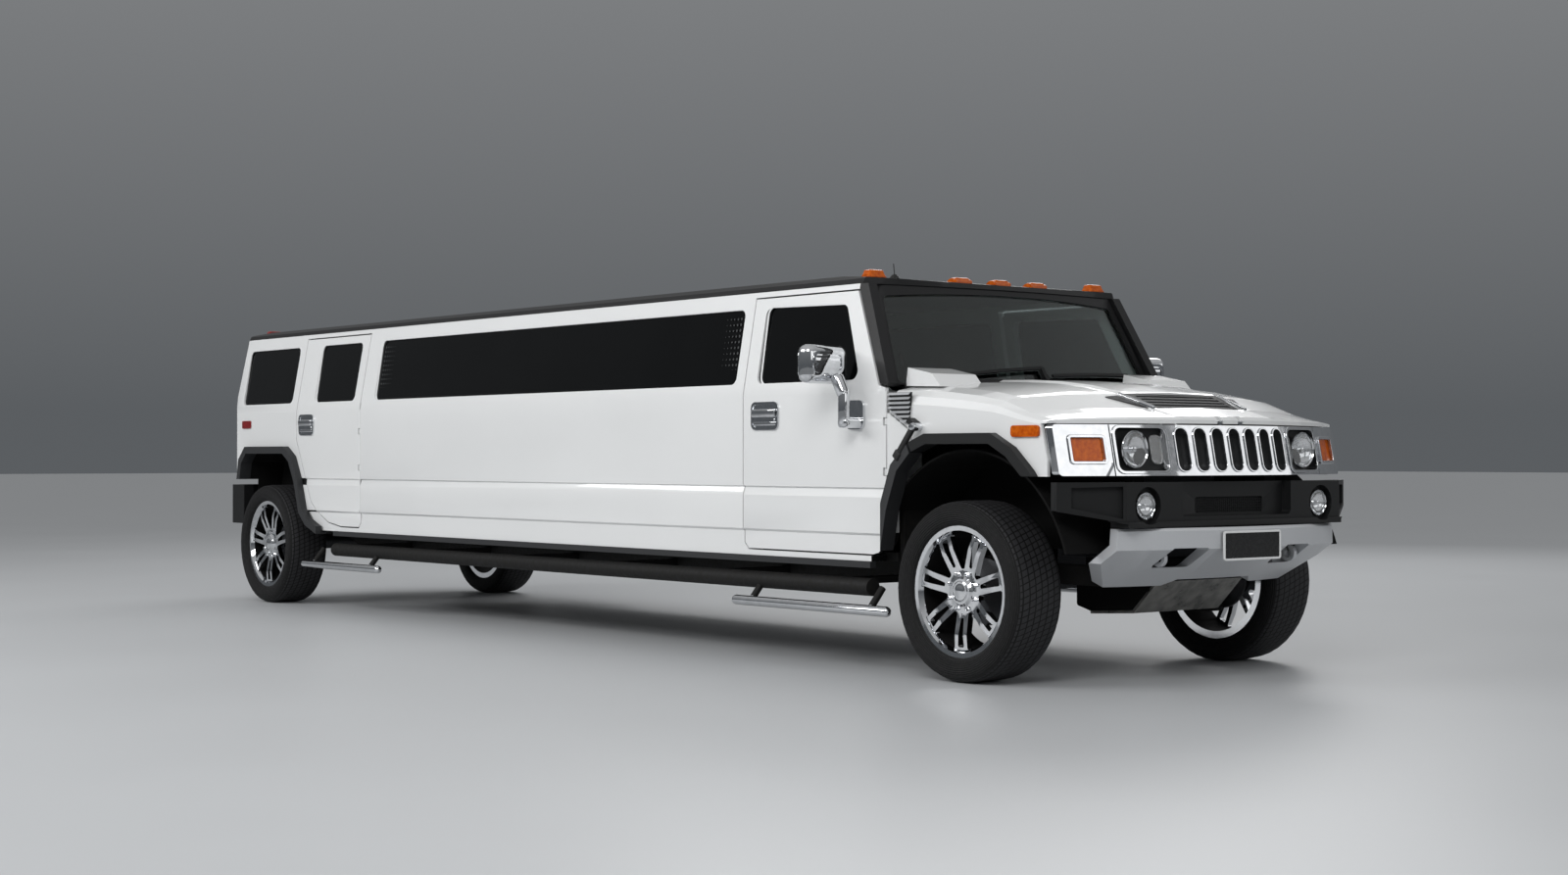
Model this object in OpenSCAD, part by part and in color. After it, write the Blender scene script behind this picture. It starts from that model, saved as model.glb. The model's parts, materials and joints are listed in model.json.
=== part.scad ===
// Stretch limousine on an off-road wagon body, with opening doors, tilting hood, tailgate and steered wheels.
// Millimetres. X runs forward, Y to the car's left, Z up from the ground. The origin is under the middle.
// Modules place their pieces from the front axle (x = 0); rear pieces are placed from rear_x.

/* [Overall] */
// Distance between the axles
wheelbase = 7145; // [6400:5:8000]
// From the front axle to the front of the bumper guard
front_overhang = 870; // [840:5:930]
// From the rear axle to the back of the rear bumper
rear_overhang = 725; // [700:5:780]
// Width over the lower body sides
body_width = 1970; // [1920:5:2020]
// Width over the top of the sides
cant_width = 1780; // [1740:5:1820]
// Ground to the lower edge of the body sides
sill_z = 530; // [515:5:540]
// Ground to the foot of the glass band
belt_z = 1390; // [1380:5:1400]
// Ground to the top of the body sides
cant_z = 1880; // [1860:5:1920]
// Height of the roof above the body sides
roof_rise = 66; // [50:2:80]

/* [Body panels] */
// Thickness of the lower walls and doors
wall_t = 110; // [90:2:130]
// Thickness of the pillars and window frames
pillar_t = 55; // [45:1:65]
// Thickness of the outer skin of a door
skin_t = 20; // [16:1:24]
// How far the door's inner box stays inside its skin's outline
door_lap = 22; // [18:1:28]
// Gap around the doors and lids
door_gap = 8; // [7:0.5:10]
// Radius of the rounded door edge on the hinge line
hem_r = 6; // [5:0.5:8]
// Clearance between seated pieces
seat = 0.4; // [0.2:0.1:0.6]
// Height of the lower crease
crease_z = 660; // [640:5:680]
// Depth of the sides below the crease
crease_d = 12; // [8:1:16]
// Top of the side groove
rib_z = 885; // [870:5:900]
// Height of the side groove
rib_h = 47; // [35:1:55]
// Depth of the side groove
rib_d = 13; // [8:1:16]
// Thickness of the hood sheet
hood_t = 18; // [14:1:22]
// Thickness of the roof
roof_t = 45; // [35:1:50]

/* [Doors and windows] */
// Front door's hinge line ahead of the front axle
front_hinge_x = -526; // [-530:1:-522]
// Length of the front doors
front_door_l = 1104; // [1050:2:1160]
// Rear door's hinge line ahead of the rear axle
rear_hinge_x = 1339; // [1320:1:1380]
// Bottom of the doors above the body's lower edge
door_up = 35; // [30:1:45]
// Top of the doors below the top of the sides
door_down = 35; // [30:1:45]
// Foot of the side windows above the belt
glass_up = 15; // [8:1:25]
// Head of the side windows below the top of the sides
glass_down = 85; // [75:1:100]
// Thickness of the side glass
glass_t = 5; // [4:0.5:8]
// Depth of the glass behind the outer surface
glass_in = 12; // [8:1:16]
// Width of the pillars from a door's edge to the long window
post_w = 80; // [60:2:110]

/* [Wheels] */
// Radius of the tyres
tyre_r = 416; // [400:2:424]
// Width of the tyres
tyre_w = 290; // [270:2:300]
// Distance between the tyre middles of an axle
track = 1763; // [1740:1:1780]
// Radius of the rims at the lip
rim_r = 302; // [290:1:310]
// Width of the rims
rim_w = 236; // [220:2:250]
// Number of twin spokes
spokes = 7; // [5:1:9]
// Radius of the axle spindles
spindle_r = 28; // [24:1:32]
// Clearance of the hub on its spindle
hub_gap = 0.3; // [0.2:0.1:0.5]
// Half the distance between the steering pivots
pivot_y = 780; // [770:2:790]
// Radius of the steering pivot pins
pin_r = 16; // [12:1:18]

/* [Front end] */
// Plan radius of the grille
grille_plan_r = 2600; // [2200:20:3200]
// Front of the grille ahead of the front axle
grille_x = 800; // [785:1:810]
// Width of the grille over its corner bezels
grille_w = 1946; // [1900:2:1960]
// Foot of the grille
grille_z = 948; // [940:1:955]
// Height of the grille
grille_h = 227; // [215:1:232]
// Depth of the grille shell
grille_t = 40; // [30:1:45]
// Lean of the grille from upright
grille_rake = 11; // [5:1:14]
// Number of slots in the grille
slots = 7; // [5:1:9]
// Spacing of the slots
slot_pitch = 112; // [100:1:118]
// Width of a slot
slot_w = 72; // [60:1:80]
// Height of a slot
slot_h = 190; // [170:1:200]
// Radius of the headlamps
headlamp_r = 80; // [70:1:90]
// Headlamps from the middle
headlamp_y = 586; // [575:1:600]
// Top of the front bumper
bumper_z = 920; // [905:1:930]
// Height of the front bumper
bumper_h = 200; // [180:2:204]
// Radius of the fog lamps
fog_r = 57; // [48:1:62]
// Radius of the rock rails
rail_r = 43; // [36:1:46]
// Radius of the side step tubes
step_r = 25; // [20:1:30]

/* [View] */
// Which piece to show

/* [Hidden] */
$fn = 64;

// Frame of the car
axle_x = (wheelbase + rear_overhang - front_overhang) / 2;
rear_x = -wheelbase;
axle_z = tyre_r;
side_y = body_width / 2;
cant_y = cant_width / 2;
belt_in = 7;
belt_y = side_y - belt_in;
wheel_y = track / 2;

// Body sides
floor_z = sill_z + 2;
floor_t = 40;
floor_y = side_y - wall_t - seat;
door_z0 = sill_z + door_up;
door_z1 = cant_z - door_down;
win_z0 = belt_z + glass_up;
win_z1 = cant_z - glass_down;
win_r = 40;
tail_x = rear_x - 575;
rocker_x = -640;
rear_rocker_x = rear_x + 1000;

// Front door outline, from the hinge line back
fd_x0 = front_hinge_x;
fd_x1 = fd_x0 - front_door_l;
pillar_foot_x = fd_x0 - 54;
pillar_head_x = fd_x0 - 298;
front_door_pts = [
  [fd_x0, belt_z - 30], [fd_x0, door_z0 + 100], [fd_x0 - 18, door_z0 + 42], [fd_x0 - 60, door_z0 + 9],
  [fd_x0 - 100, door_z0], [fd_x1 + 30, door_z0], [fd_x1, door_z0 + 30], [fd_x1, door_z1],
  [pillar_head_x, door_z1], [pillar_foot_x, belt_z - 15]
];
front_win_pts = [[fd_x1 + 95, win_z0], [fd_x1 + 95, win_z1], [pillar_head_x - 70, win_z1 - 15],
  [pillar_foot_x - 145, win_z0]];

// Rear door outline, its lower rear edge following the wheel arch
rd_x0 = rear_x + rear_hinge_x;
rd_x1 = rear_x + 425;
rear_door_pts = [
  [rd_x0, door_z1], [rd_x0, door_z0 + 30], [rd_x0 - 30, door_z0], [rear_x + 1060, door_z0],
  [rear_x + 880, door_z0 + 25], [rear_x + 760, door_z0 + 75], [rear_x + 640, door_z0 + 165],
  [rd_x1, 1145], [rd_x1, door_z1]
];
rear_win_x0 = rd_x0 - 90;
rear_win_x1 = rear_x + 665;
long_win_x0 = fd_x1 - post_w;
long_win_x1 = rd_x0 + hem_r + door_gap + 170;
quarter_win_x0 = rear_x + 332;
quarter_win_x1 = rear_x - 458;

// Wheel arches, in side view from their axle
front_arch_pts = [[-545, 420], [-530, 540], [-480, 780], [-405, 970], [-310, 1058], [-200, 1098], [220, 1098],
  [335, 1040], [440, 945], [640, 700], [640, 420]];
rear_arch_pts = [[-420, 420], [-412, 860], [-385, 990], [-305, 1062], [285, 1062], [385, 1005], [470, 860],
  [545, 650], [640, 570], [830, 505], [830, 420]];
flare_w = 42;
flare_t = 45;

// Seam between the hood and the cowl sides, in side view
seam_pts = [[-245, 1020], [-300, 1050], [-366, 1171], [-498, 1247], [-498, 1600]];
hood_side_z = 945;
hood_axis_x = grille_x - 52;
hood_axis_z = grille_z + grille_h + 21;
hood_hinge_y = 70;
hood_barrel_w = 24;
hood_barrel_r = 5;

// Windshield: foot in the middle, lean and plan radius
ws_x = -470;
ws_z = belt_z + 10;
ws_head_x = -720;
ws_rake = atan2(ws_x - ws_head_x, cant_z + 5 - ws_z);
ws_l = (cant_z + 5 - ws_z) / cos(ws_rake);
ws_plan_r = 5200;
ws_ring_t = 25;
cowl_z = 1318;
roof_plan_r = 4600;
roof_front_x = -712;

// Undercarriage
rail_y0 = 420;
rail_y1 = 500;
rail_z0 = 400;
rail_z1 = sill_z + 2 - seat;
cross_z = 485;
rock_y = side_y - 40;
rock_z = 404;
step_y = side_y + 45;
step_z = 300;

// Rear end
gate_w = 1500;
gate_t = 60;
gate_z0 = 880;
gate_hem_r = 8;
gate_hinge_y = 520;
gate_axis_x = tail_x + 58;
gate_axis_z = cant_z - 22;
rear_bumper_z0 = 550;
rear_bumper_z1 = 830;

function rev(a) = [for (i = [len(a) - 1:-1:0]) a[i]];
function shift_in(a, d) = [for (p = a) [p[0] - d, p[1]]];
function at_x(a, x) = [for (p = a) [p[0] + x, p[1]]];
function wall_outer(z0) = [
  [side_y - crease_d, z0], [side_y - crease_d, crease_z - 6], [side_y, crease_z + 6],
  [side_y, rib_z - rib_h], [side_y - rib_d, rib_z - 6], [side_y, rib_z],
  [side_y, belt_z - 45], [belt_y, belt_z], [cant_y, cant_z]
];
function wall_inner(z0) = [
  [cant_y - pillar_t, cant_z], [belt_y - pillar_t, belt_z], [side_y - wall_t, belt_z - 40],
  [side_y - wall_t, z0]
];

module car() { translate([axle_x, 0, 0]) children(); }
module both_sides() {
  children();
  mirror([0, 1, 0]) children();
}
module right_side() { mirror([0, 1, 0]) children(); }
module along_x(x0, x1) { translate([x0, 0, 0]) rotate([90, 0, 90]) linear_extrude(x1 - x0) children(); }
module along_y(y0, y1) { translate([0, y1, 0]) rotate([90, 0, 0]) linear_extrude(y1 - y0) children(); }
module along_z(z0, z1) { translate([0, 0, z0]) linear_extrude(z1 - z0) children(); }
module box(x0, x1, y0, y1, z0, z1) { translate([x0, y0, z0]) cube([x1 - x0, y1 - y0, z1 - z0]); }
module rod_x(x0, x1, y, z, r) { translate([x0, y, z]) rotate([0, 90, 0]) cylinder(h = x1 - x0, r = r); }
module rod_y(y0, y1, x, z, r) { translate([x, y0, z]) rotate([-90, 0, 0]) cylinder(h = y1 - y0, r = r); }
module rod_z(z0, z1, x, y, r) { translate([x, y, z0]) cylinder(h = z1 - z0, r = r); }
module rounded(x0, y0, x1, y1, r) {
  translate([x0 + r, y0]) square([x1 - x0 - 2 * r, y1 - y0]);
  translate([x0, y0 + r]) square([x1 - x0, y1 - y0 - 2 * r]);
  for (x = [x0 + r, x1 - r]) for (y = [y0 + r, y1 - r]) translate([x, y]) circle(r = r);
}
module soft_corners(r) { offset(r = r, $fn = 24) offset(delta = -r) children(); }

// Body side sections, extruded along the car
module wall(x0, x1, z0) { along_x(x0, x1) polygon(concat(wall_outer(z0), wall_inner(z0))); }
module skin(x0, x1, z0) { along_x(x0, x1) polygon(concat(wall_outer(z0), rev(shift_in(wall_outer(z0), skin_t)))); }
module core(x0, x1, z0) { along_x(x0, x1) polygon(concat(shift_in(wall_outer(z0), skin_t), wall_inner(z0))); }
module pane(x0, x1) {
  along_x(x0, x1) polygon(concat(
    shift_in(wall_outer(belt_z - 60), glass_in), rev(shift_in(wall_outer(belt_z - 60), glass_in + glass_t))));
}
module through_wall() { along_y(side_y - wall_t - 200, side_y + 100) children(); }

module front_door_2d() { polygon(front_door_pts); }
module rear_door_2d() { polygon(rear_door_pts); }
module front_win_2d() { soft_corners(win_r) polygon(front_win_pts); }
module rear_win_2d() { rounded(rear_win_x1, win_z0, rear_win_x0, win_z1, win_r); }
module long_win_2d() { rounded(long_win_x1, win_z0, long_win_x0, win_z1, win_r); }
module quarter_win_2d() { rounded(quarter_win_x1, win_z0, quarter_win_x0, win_z1, win_r); }
module front_arch_2d() { polygon(front_arch_pts); }
module rear_arch_2d() { polygon(at_x(rear_arch_pts, rear_x)); }
module opening(x_hinge) {
  offset(delta = door_gap) children();
  translate([x_hinge, door_z0 + 60]) square([hem_r + door_gap, belt_z - 60 - door_z0]);
}

module door_leaf(x_hinge, x0, x1) {
  intersection() {
    skin(x1, x0, sill_z);
    through_wall() children(0);
  }
  intersection() {
    core(x1, x0, sill_z);
    through_wall() offset(delta = -door_lap) children(0);
  }
}
module hem(x_hinge, z0, z1) { rod_z(z0, z1, x_hinge, side_y - hem_r, hem_r); }
// Pinned hinges on the door's edge: a notch and pin on the leaf, a bored barrel and strap on the body
module hinge_notch(x_hinge) {
  for (z = hinge_zs) through_wall() translate([x_hinge - notch_in, z - barrel_h / 2 - barrel_gap])
    square([notch_in + 2 * hem_r, barrel_h + 2 * barrel_gap]);
}
module hinge_pin(x_hinge) {
  for (z = hinge_zs)
    rod_z(z - barrel_h / 2 - barrel_gap - 4, z + barrel_h / 2 + barrel_gap + 4, x_hinge, side_y - hem_r, hinge_pin_r);
}
module hinge_barrel(x_hinge) {
  for (z = hinge_zs) difference() {
    union() {
      rod_z(z - barrel_h / 2, z + barrel_h / 2, x_hinge, side_y - hem_r, hem_r);
      box(x_hinge, x_hinge + hem_r + door_gap + 6, side_y - hem_r - 3, side_y - hem_r + 3,
        z - barrel_h / 2, z + barrel_h / 2);
    }
    rod_z(z - barrel_h, z + barrel_h, x_hinge, side_y - hem_r, hinge_pin_r + hinge_play);
  }
}
hem_z0 = crease_z + 12;
hinge_zs = [960, 1200];
barrel_h = 30;
barrel_gap = 5;
notch_in = 16;
hinge_pin_r = 3;
hinge_play = 0.3;

module front_door_half() {
  difference() {
    union() {
      door_leaf(fd_x0, fd_x0, fd_x1) front_door_2d();
      hem(fd_x0, hem_z0, belt_z - 46);
    }
    through_wall() front_win_2d();
    hinge_notch(fd_x0);
  }
  hinge_pin(fd_x0);
}
module rear_door_half() {
  difference() {
    union() {
      door_leaf(rd_x0, rd_x0, rd_x1) rear_door_2d();
      hem(rd_x0, hem_z0, belt_z - 46);
    }
    through_wall() rear_win_2d();
    hinge_notch(rd_x0);
  }
  hinge_pin(rd_x0);
}
module pane_in(x0, x1) {
  intersection() {
    pane(x1, x0);
    through_wall() offset(delta = -seat) children();
  }
}

// Ladder frame: two rails that thin over the axles, crossmembers and link brackets
module frame() {
  color("#2b2b2d") car() {
    both_sides() {
      along_y(rail_y0, rail_y1) polygon([
        [500, 440], [532, 474], [610, rail_z1], [rear_x - 560, rail_z1], [rear_x - 560, 470], [rear_x - 300, 475],
        [rear_x + 250, 475], [rear_x + 420, rail_z0], [-700, rail_z0], [-450, 440]]);
      box(-60, 60, rail_y0, rail_y1, rail_z1 - 40, 640);
      box(rear_x + 655, rear_x + 715, rail_y0 + 20, rail_y1 - 20, 335, rail_z0 + 20);
    }
    for (i = [0:cross_n]) translate([cross_x0 + i * cross_step, 0, 0]) box(-40, 40, -rail_y0, rail_y0, cross_z, rail_z1);
    box(480, 540, -rail_y0, rail_y0, 450, rail_z1);
    box(rear_x - 540, rear_x - 480, -rail_y0, rail_y0, cross_z, rail_z1);
  }
}
cross_n = 6;
cross_x0 = rear_x + 480;
cross_step = (wheelbase - 480 - 1250) / cross_n;

// Floor pan with notches for the rear wheels
module floor_pan() {
  color("#3a3a3c") car() {
    along_z(floor_z, floor_z + floor_t) polygon([
      [-560, -floor_y], [-560, floor_y], [rear_x + 700, floor_y], [rear_x + 700, tub_y], [rear_x - 450, tub_y],
      [rear_x - 450, floor_y], [tail_x + 90, floor_y], [tail_x + 90, -floor_y], [rear_x - 450, -floor_y],
      [rear_x - 450, -tub_y], [rear_x + 700, -tub_y], [rear_x + 700, -floor_y]]);
  }
}
tub_y = 690;

module firewall() {
  color("#2f2f31") car() {
    difference() {
      union() {
        along_x(-560, -530) rounded(-860, floor_z, 860, cowl_z - 20, 30);
        box(-600, -440, -860, 860, cowl_z - 20, cowl_z);
      }
    }
  }
}

// Roof: cambered section, dropped and rounded at its front
module roof_solid() {
  intersection() {
    along_x(tail_x + 40, -650) polygon([
      [-cant_y, cant_z], [-cant_y + 12, cant_z + 26], [-cant_y + 45, cant_z + 48], [-cant_y + 190, cant_z + roof_rise - 6],
      [0, cant_z + roof_rise], [cant_y - 190, cant_z + roof_rise - 6], [cant_y - 45, cant_z + 48],
      [cant_y - 12, cant_z + 26], [cant_y, cant_z], [cant_y - pillar_t, cant_z],
      [cant_y - 150, cant_z + roof_rise - roof_t - 6], [0, cant_z + roof_rise - roof_t],
      [-cant_y + 150, cant_z + roof_rise - roof_t - 6], [-cant_y + pillar_t, cant_z]]);
    along_y(-cant_y - 1, cant_y + 1) polygon([
      [-650, cant_z - 10], [-650, cant_z + 14], [-760, cant_z + 30], [-1000, cant_z + 48], [-1700, cant_z + roof_rise + 4],
      [rear_x + 700, cant_z + roof_rise + 4], [rear_x - 200, cant_z + 50], [tail_x + 40, cant_z + 34],
      [tail_x + 40, cant_z - 10]]);
    translate([roof_front_x - roof_plan_r, 0, cant_z - 20]) cylinder(h = 200, r = roof_plan_r, $fn = 180);
  }
  roof_header();
}
// Cross rails that close the roof over the windshield and the tailgate
module roof_header() {
  intersection() {
    union() {
      box(-900, -650, -cant_y + pillar_t, cant_y - pillar_t, cant_z, cant_z + 25);
      box(tail_x + 40, tail_x + 130, -cant_y + pillar_t, cant_y - pillar_t, cant_z, cant_z + 25);
    }
    translate([roof_front_x - roof_plan_r, 0, cant_z - 20]) cylinder(h = 200, r = roof_plan_r, $fn = 180);
    along_y(-cant_y - 1, cant_y + 1) polygon([[-650, cant_z - 10], [-650, cant_z + 14], [-760, cant_z + 30],
      [tail_x + 40, cant_z + 34], [tail_x + 40, cant_z - 10]]);
  }
}
module roof() {
  color("#161618") car() {
    roof_solid();
    for (s = [-1, 1]) translate([0, s * gate_hinge_y, 0]) difference() {
      union() {
        rod_y(-barrel_h / 2, barrel_h / 2, gate_axis_x, gate_axis_z, gate_hem_r);
        box(gate_axis_x - 4, gate_axis_x + 4, -barrel_h / 2, barrel_h / 2, gate_axis_z, cant_z + 4);
      }
      rod_y(-barrel_h, barrel_h, gate_axis_x, gate_axis_z, hinge_pin_r + hinge_play);
    }
  }
}

// Windshield: pieces of one leaning cylinder, outlined in the plane of the glass
module on_screen() { translate([ws_x, 0, ws_z]) rotate([0, -ws_rake, 0]) children(); }
module screen_sheet(out, t) {
  on_screen() intersection() {
    translate([-ws_plan_r, 0, -400]) difference() {
      cylinder(h = 1200, r = ws_plan_r + out, $fn = 720);
      translate([0, 0, -1]) cylinder(h = 1202, r = ws_plan_r + out - t, $fn = 720);
    }
    along_x(-300, 100) children();
  }
}
glass_foot_y = 880;
glass_head_y = 798;
module screen_2d() {
  soft_corners(30) polygon([[-glass_foot_y, 22], [glass_foot_y, 22], [glass_head_y, ws_l - 40], [-glass_head_y, ws_l - 40]]);
}
module a_pillars() {
  both_sides() intersection() {
    wall(-900, -480, cowl_z);
    through_wall() polygon([
      [pillar_foot_x + 9, belt_z - 6], [fd_x0 + hem_r + 6, belt_z - 21], [fd_x0 + 16, belt_z - 6],
      [pillar_head_x + 66, cant_z - seat], [pillar_head_x + 8, cant_z - seat], [pillar_head_x + 8, door_z1 + 10]]);
  }
}
module windshield_frame() {
  color("#1a1a1c") car() {
    a_pillars();
    intersection() {
      difference() {
        screen_sheet(0, ws_ring_t) polygon([
          [-850, -160], [850, -160], [850, 12], [935, 20], [cant_y - 35, ws_l + 60], [-cant_y + 35, ws_l + 60], [-935, 20],
          [-850, 12]]);
        on_screen() along_x(-300, 100) screen_2d();
      }
      box(pillar_head_x + 8, -300, -side_y, side_y, cowl_z + seat, cant_z - seat);
    }
  }
}
module windshield() {
  color("#1c2226", 0.6) car() screen_sheet(-8, 6) offset(delta = -seat) screen_2d();
}

// Wipers lie on the glass, turned down to the foot of the screen
module wipers() {
  color("#151515") car() {
    for (y = [-260, 420]) {
      screen_sheet(22, 12) translate([y, 60]) rotate(4) translate([-330, -8]) square([620, 16]);
      screen_sheet(24, 22) translate([y, 60]) rotate(4) translate([280, -60]) square([24, 62]);
      on_screen() translate([-ws_plan_r, 0, 22]) rotate([0, 0, asin((y + 295) / ws_plan_r)])
        translate([ws_plan_r + seat, 0, 0]) rotate([0, 90, 0]) cylinder(h = 28, r = 16);
    }
  }
}

// Fixed sides between the hood seam, the front arch and the front door
module cowl_sides() {
  color("#f2f2f0") car() both_sides() {
    difference() {
      intersection() {
        skin(front_hinge_x + hem_r + door_gap, -200, sill_z);
        through_wall() polygon([[front_hinge_x + hem_r + door_gap, 560], [-300, 560], [-245, 1020 - door_gap],
          [-303, 1050 - door_gap], [-370, 1171 - door_gap], [-500, 1247 - door_gap],
          [front_hinge_x + hem_r + door_gap, 1247 - door_gap]]);
      }
      through_wall() front_arch_2d();
    }
    box(-530 + seat, -482, 790, 850, 900, 1200);
    box(-508, -482, 790, side_y - skin_t + 4, 900, 1200);
    hinge_barrel(fd_x0);
  }
}

module side_panels() {
  color("#f2f2f0") car() both_sides() {
    difference() {
      intersection() {
        wall(rd_x1 - door_gap, rocker_x + 20, sill_z);
        through_wall() polygon([
          [rocker_x, sill_z], [rocker_x, sill_z + 60], [fd_x0 - 400, sill_z + 200], [fd_x0 - 400, cant_z - 200],
          [pillar_head_x + 8 - seat, door_z1 + 10], [pillar_head_x + 8 - seat, cant_z],
          [rd_x1 - door_gap, cant_z], [rd_x1 - door_gap, 1400], [rear_rocker_x, 700], [rear_rocker_x, sill_z]]);
      }
      through_wall() opening(fd_x0) front_door_2d();
      through_wall() opening(rd_x0) rear_door_2d();
      through_wall() long_win_2d();
    }
    hinge_barrel(rd_x0);
  }
}

module quarter_panels() {
  color("#f2f2f0") car() both_sides() {
    difference() {
      union() {
        intersection() {
          wall(tail_x, rear_rocker_x, sill_z);
          through_wall() polygon([
            [rear_rocker_x - seat, sill_z], [rear_rocker_x - seat, 640], [rear_x + 600, 1300], [rear_x + 600, cant_z - 100],
            [rd_x1 - door_gap - seat, cant_z - 50], [rd_x1 - door_gap - seat, cant_z],
            [tail_x + 40, cant_z], [tail_x, belt_z], [tail_x, 870], [rear_x - 300, 870], [rear_x - 300, sill_z]]);
        }
        intersection() {
          along_x(tail_x, tail_x + 80) polygon([[gate_w / 2 + door_gap, 870], [side_y, 870], [side_y, belt_z - 45],
            [belt_y, belt_z], [cant_y, cant_z], [gate_w / 2 + door_gap, cant_z]]);
          through_wall2() polygon([[tail_x + 200, cant_z], [tail_x + 40, cant_z], [tail_x, belt_z], [tail_x, 870],
            [tail_x + 200, 870]]);
        }
      }
      through_wall() opening(rd_x0) rear_door_2d();
      through_wall() rear_arch_2d();
      through_wall() quarter_win_2d();
      tail_corner();
    }
  }
}
module through_wall2() { along_y(0, side_y + 100) children(); }
// Takes off the rear corner of the body in plan, as a wide round
module tail_corner() {
  difference() {
    box(tail_x - 50, tail_x + tail_round, side_y - tail_round, side_y + 50, 500, cant_z + 50);
    rod_z(490, cant_z + 60, tail_x + tail_round, side_y - tail_round, tail_round);
  }
}
tail_round = 45;

module side_glass() {
  color("#14181a", 0.7) car() both_sides() {
    pane_in(long_win_x0, long_win_x1) long_win_2d();
    pane_in(quarter_win_x0, quarter_win_x1) quarter_win_2d();
  }
}

// Black strips under the sides, and the flares that stay with the body
module arch_band(pts) {
  difference() {
    offset(delta = flare_w) polygon(pts);
    offset(delta = -flare_lip) polygon(pts);
  }
}
module arch_edge(pts) {
  difference() {
    offset(delta = -seat) polygon(pts);
    offset(delta = -flare_lip) polygon(pts);
  }
}
flare_lip = 8;
flare_in = 40;
module cladding() {
  color("#26272a") car() both_sides() {
    box(rear_rocker_x - 40, rocker_x, side_y - 40, side_y - 4, sill_z - 32, sill_z - seat);
    along_y(side_y + seat, side_y + flare_t) rear_flare_2d() arch_band(at_x(rear_arch_pts, rear_x));
    along_y(side_y - flare_in, side_y + 1) rear_flare_2d() arch_edge(at_x(rear_arch_pts, rear_x));
    along_y(side_y + seat, side_y + flare_t) front_flare_2d() arch_band(front_arch_pts);
    along_y(side_y - flare_in, side_y + 1) front_flare_2d() arch_edge(front_arch_pts);
  }
}
module rear_flare_2d() {
  difference() {
    intersection() {
      children();
      translate([rear_x - 800, sill_z - 25]) square([1600, 800]);
    }
    translate([rear_x - 800, 0]) square([500, 870]);
  }
}
module front_flare_2d() {
  intersection() {
    children();
    polygon([[fd_x0 + hem_r + door_gap, sill_z - 25], [-400, sill_z - 25], [-245, 1020 - door_gap], [-303, 1050 - door_gap],
        [-370, 1171 - door_gap], [fd_x0 + hem_r + door_gap, 1171 - door_gap]]);
  }
}

module rock_rails() {
  color("#1b1b1d") car() both_sides() {
    difference() {
      union() {
        rod_x(rear_rocker_x - 60, rocker_x - 20, rock_y, rock_z, rail_r);
        for (i = [0:rail_n]) translate([rail_x0 + i * rail_step, 0, 0])
          box(-35, 35, rail_y1 + seat, rock_y, rock_z + 6, rock_z + 40);
      }
    }
  }
}
rail_n = 5;
rail_x0 = rear_rocker_x + 150;
rail_step = (rocker_x - 220 - rail_x0) / rail_n;

step_spans = [[-1630, -470], [rear_x + 1680, rear_x + 640]];
module side_steps() {
  color("#d8dadc") car() both_sides() {
    difference() {
      union() for (s = step_spans) {
        lo = min(s[0], s[1]);
        hi = max(s[0], s[1]);
        rod_x(lo, hi, step_y, step_z, step_r);
        for (x = [lo, hi]) translate([x, step_y, step_z]) sphere(r = step_r);
        for (x = [lo + 120, hi - 120]) step_leg(x);
      }
      rod_x(rear_x - 500, 500, rock_y, rock_z, rail_r + seat);
    }
  }
}
module step_leg(x) {
  leg_a = atan2(step_y - rock_y, rock_z - step_z);
  leg_l = norm([step_y - rock_y, rock_z - step_z]);
  translate([x, step_y, step_z]) rotate([leg_a, 0, 0]) cylinder(h = leg_l, r = 15);
}

// Chrome front: a leaning curved shell with slots, lamp openings and corner bezels
module grille_sheet(out, t) {
  intersection() {
    translate([grille_x - grille_plan_r, 0, grille_z]) difference() {
      grille_cone(out);
      grille_cone(out - t);
    }
    along_x(300, grille_x + 50) children();
  }
}
module grille_cone(out) {
  drop = 2 * grille_h * tan(grille_rake);
  translate([0, 0, -grille_h]) cylinder(h = 4 * grille_h, r1 = grille_plan_r + out + drop / 2,
    r2 = grille_plan_r + out - 1.5 * drop, $fn = 720);
}
lamp_z = grille_z + 117;
lamp_hole_y = 560;
lamp_hole_w = 262;
turn_y = 831;
turn_w = 150;
turn_h = 104;
module grille_holes() {
  for (i = [0:slots - 1]) translate([(i - (slots - 1) / 2) * slot_pitch, lamp_z])
    rounded(-slot_w / 2, -slot_h / 2, slot_w / 2, slot_h / 2, 32);
  for (s = [-1, 1]) {
    translate([s * lamp_hole_y, lamp_z]) rounded(-lamp_hole_w / 2, -slot_h / 2, lamp_hole_w / 2, slot_h / 2, 30);
    translate([s * turn_y, lamp_z]) rounded(-turn_w / 2, -turn_h / 2, turn_w / 2, turn_h / 2, 12);
  }
}
module grille() {
  color("#d9dbde") car() {
    difference() {
      grille_sheet(0, grille_t) difference() {
        rounded(-grille_w / 2, grille_z, grille_w / 2, grille_z + grille_h, 18);
        grille_holes();
      }
      grille_sheet(1, 14) for (s = [-1, 1]) translate([s * 712 - 3, grille_z]) square([6, grille_h]);
    }
    for (s = [-1, 1]) translate([0, s * hood_hinge_y, 0]) difference() {
      union() {
        rod_y(-hood_barrel_w / 2, hood_barrel_w / 2, hood_axis_x, hood_axis_z, hood_barrel_r);
        box(hood_axis_x - 14, hood_axis_x, -hood_barrel_w / 2, hood_barrel_w / 2, grille_z + grille_h - 8, hood_axis_z);
      }
      rod_y(-hood_barrel_w, hood_barrel_w, hood_axis_x, hood_axis_z, hinge_pin_r + hinge_play);
    }
  }
}
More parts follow.
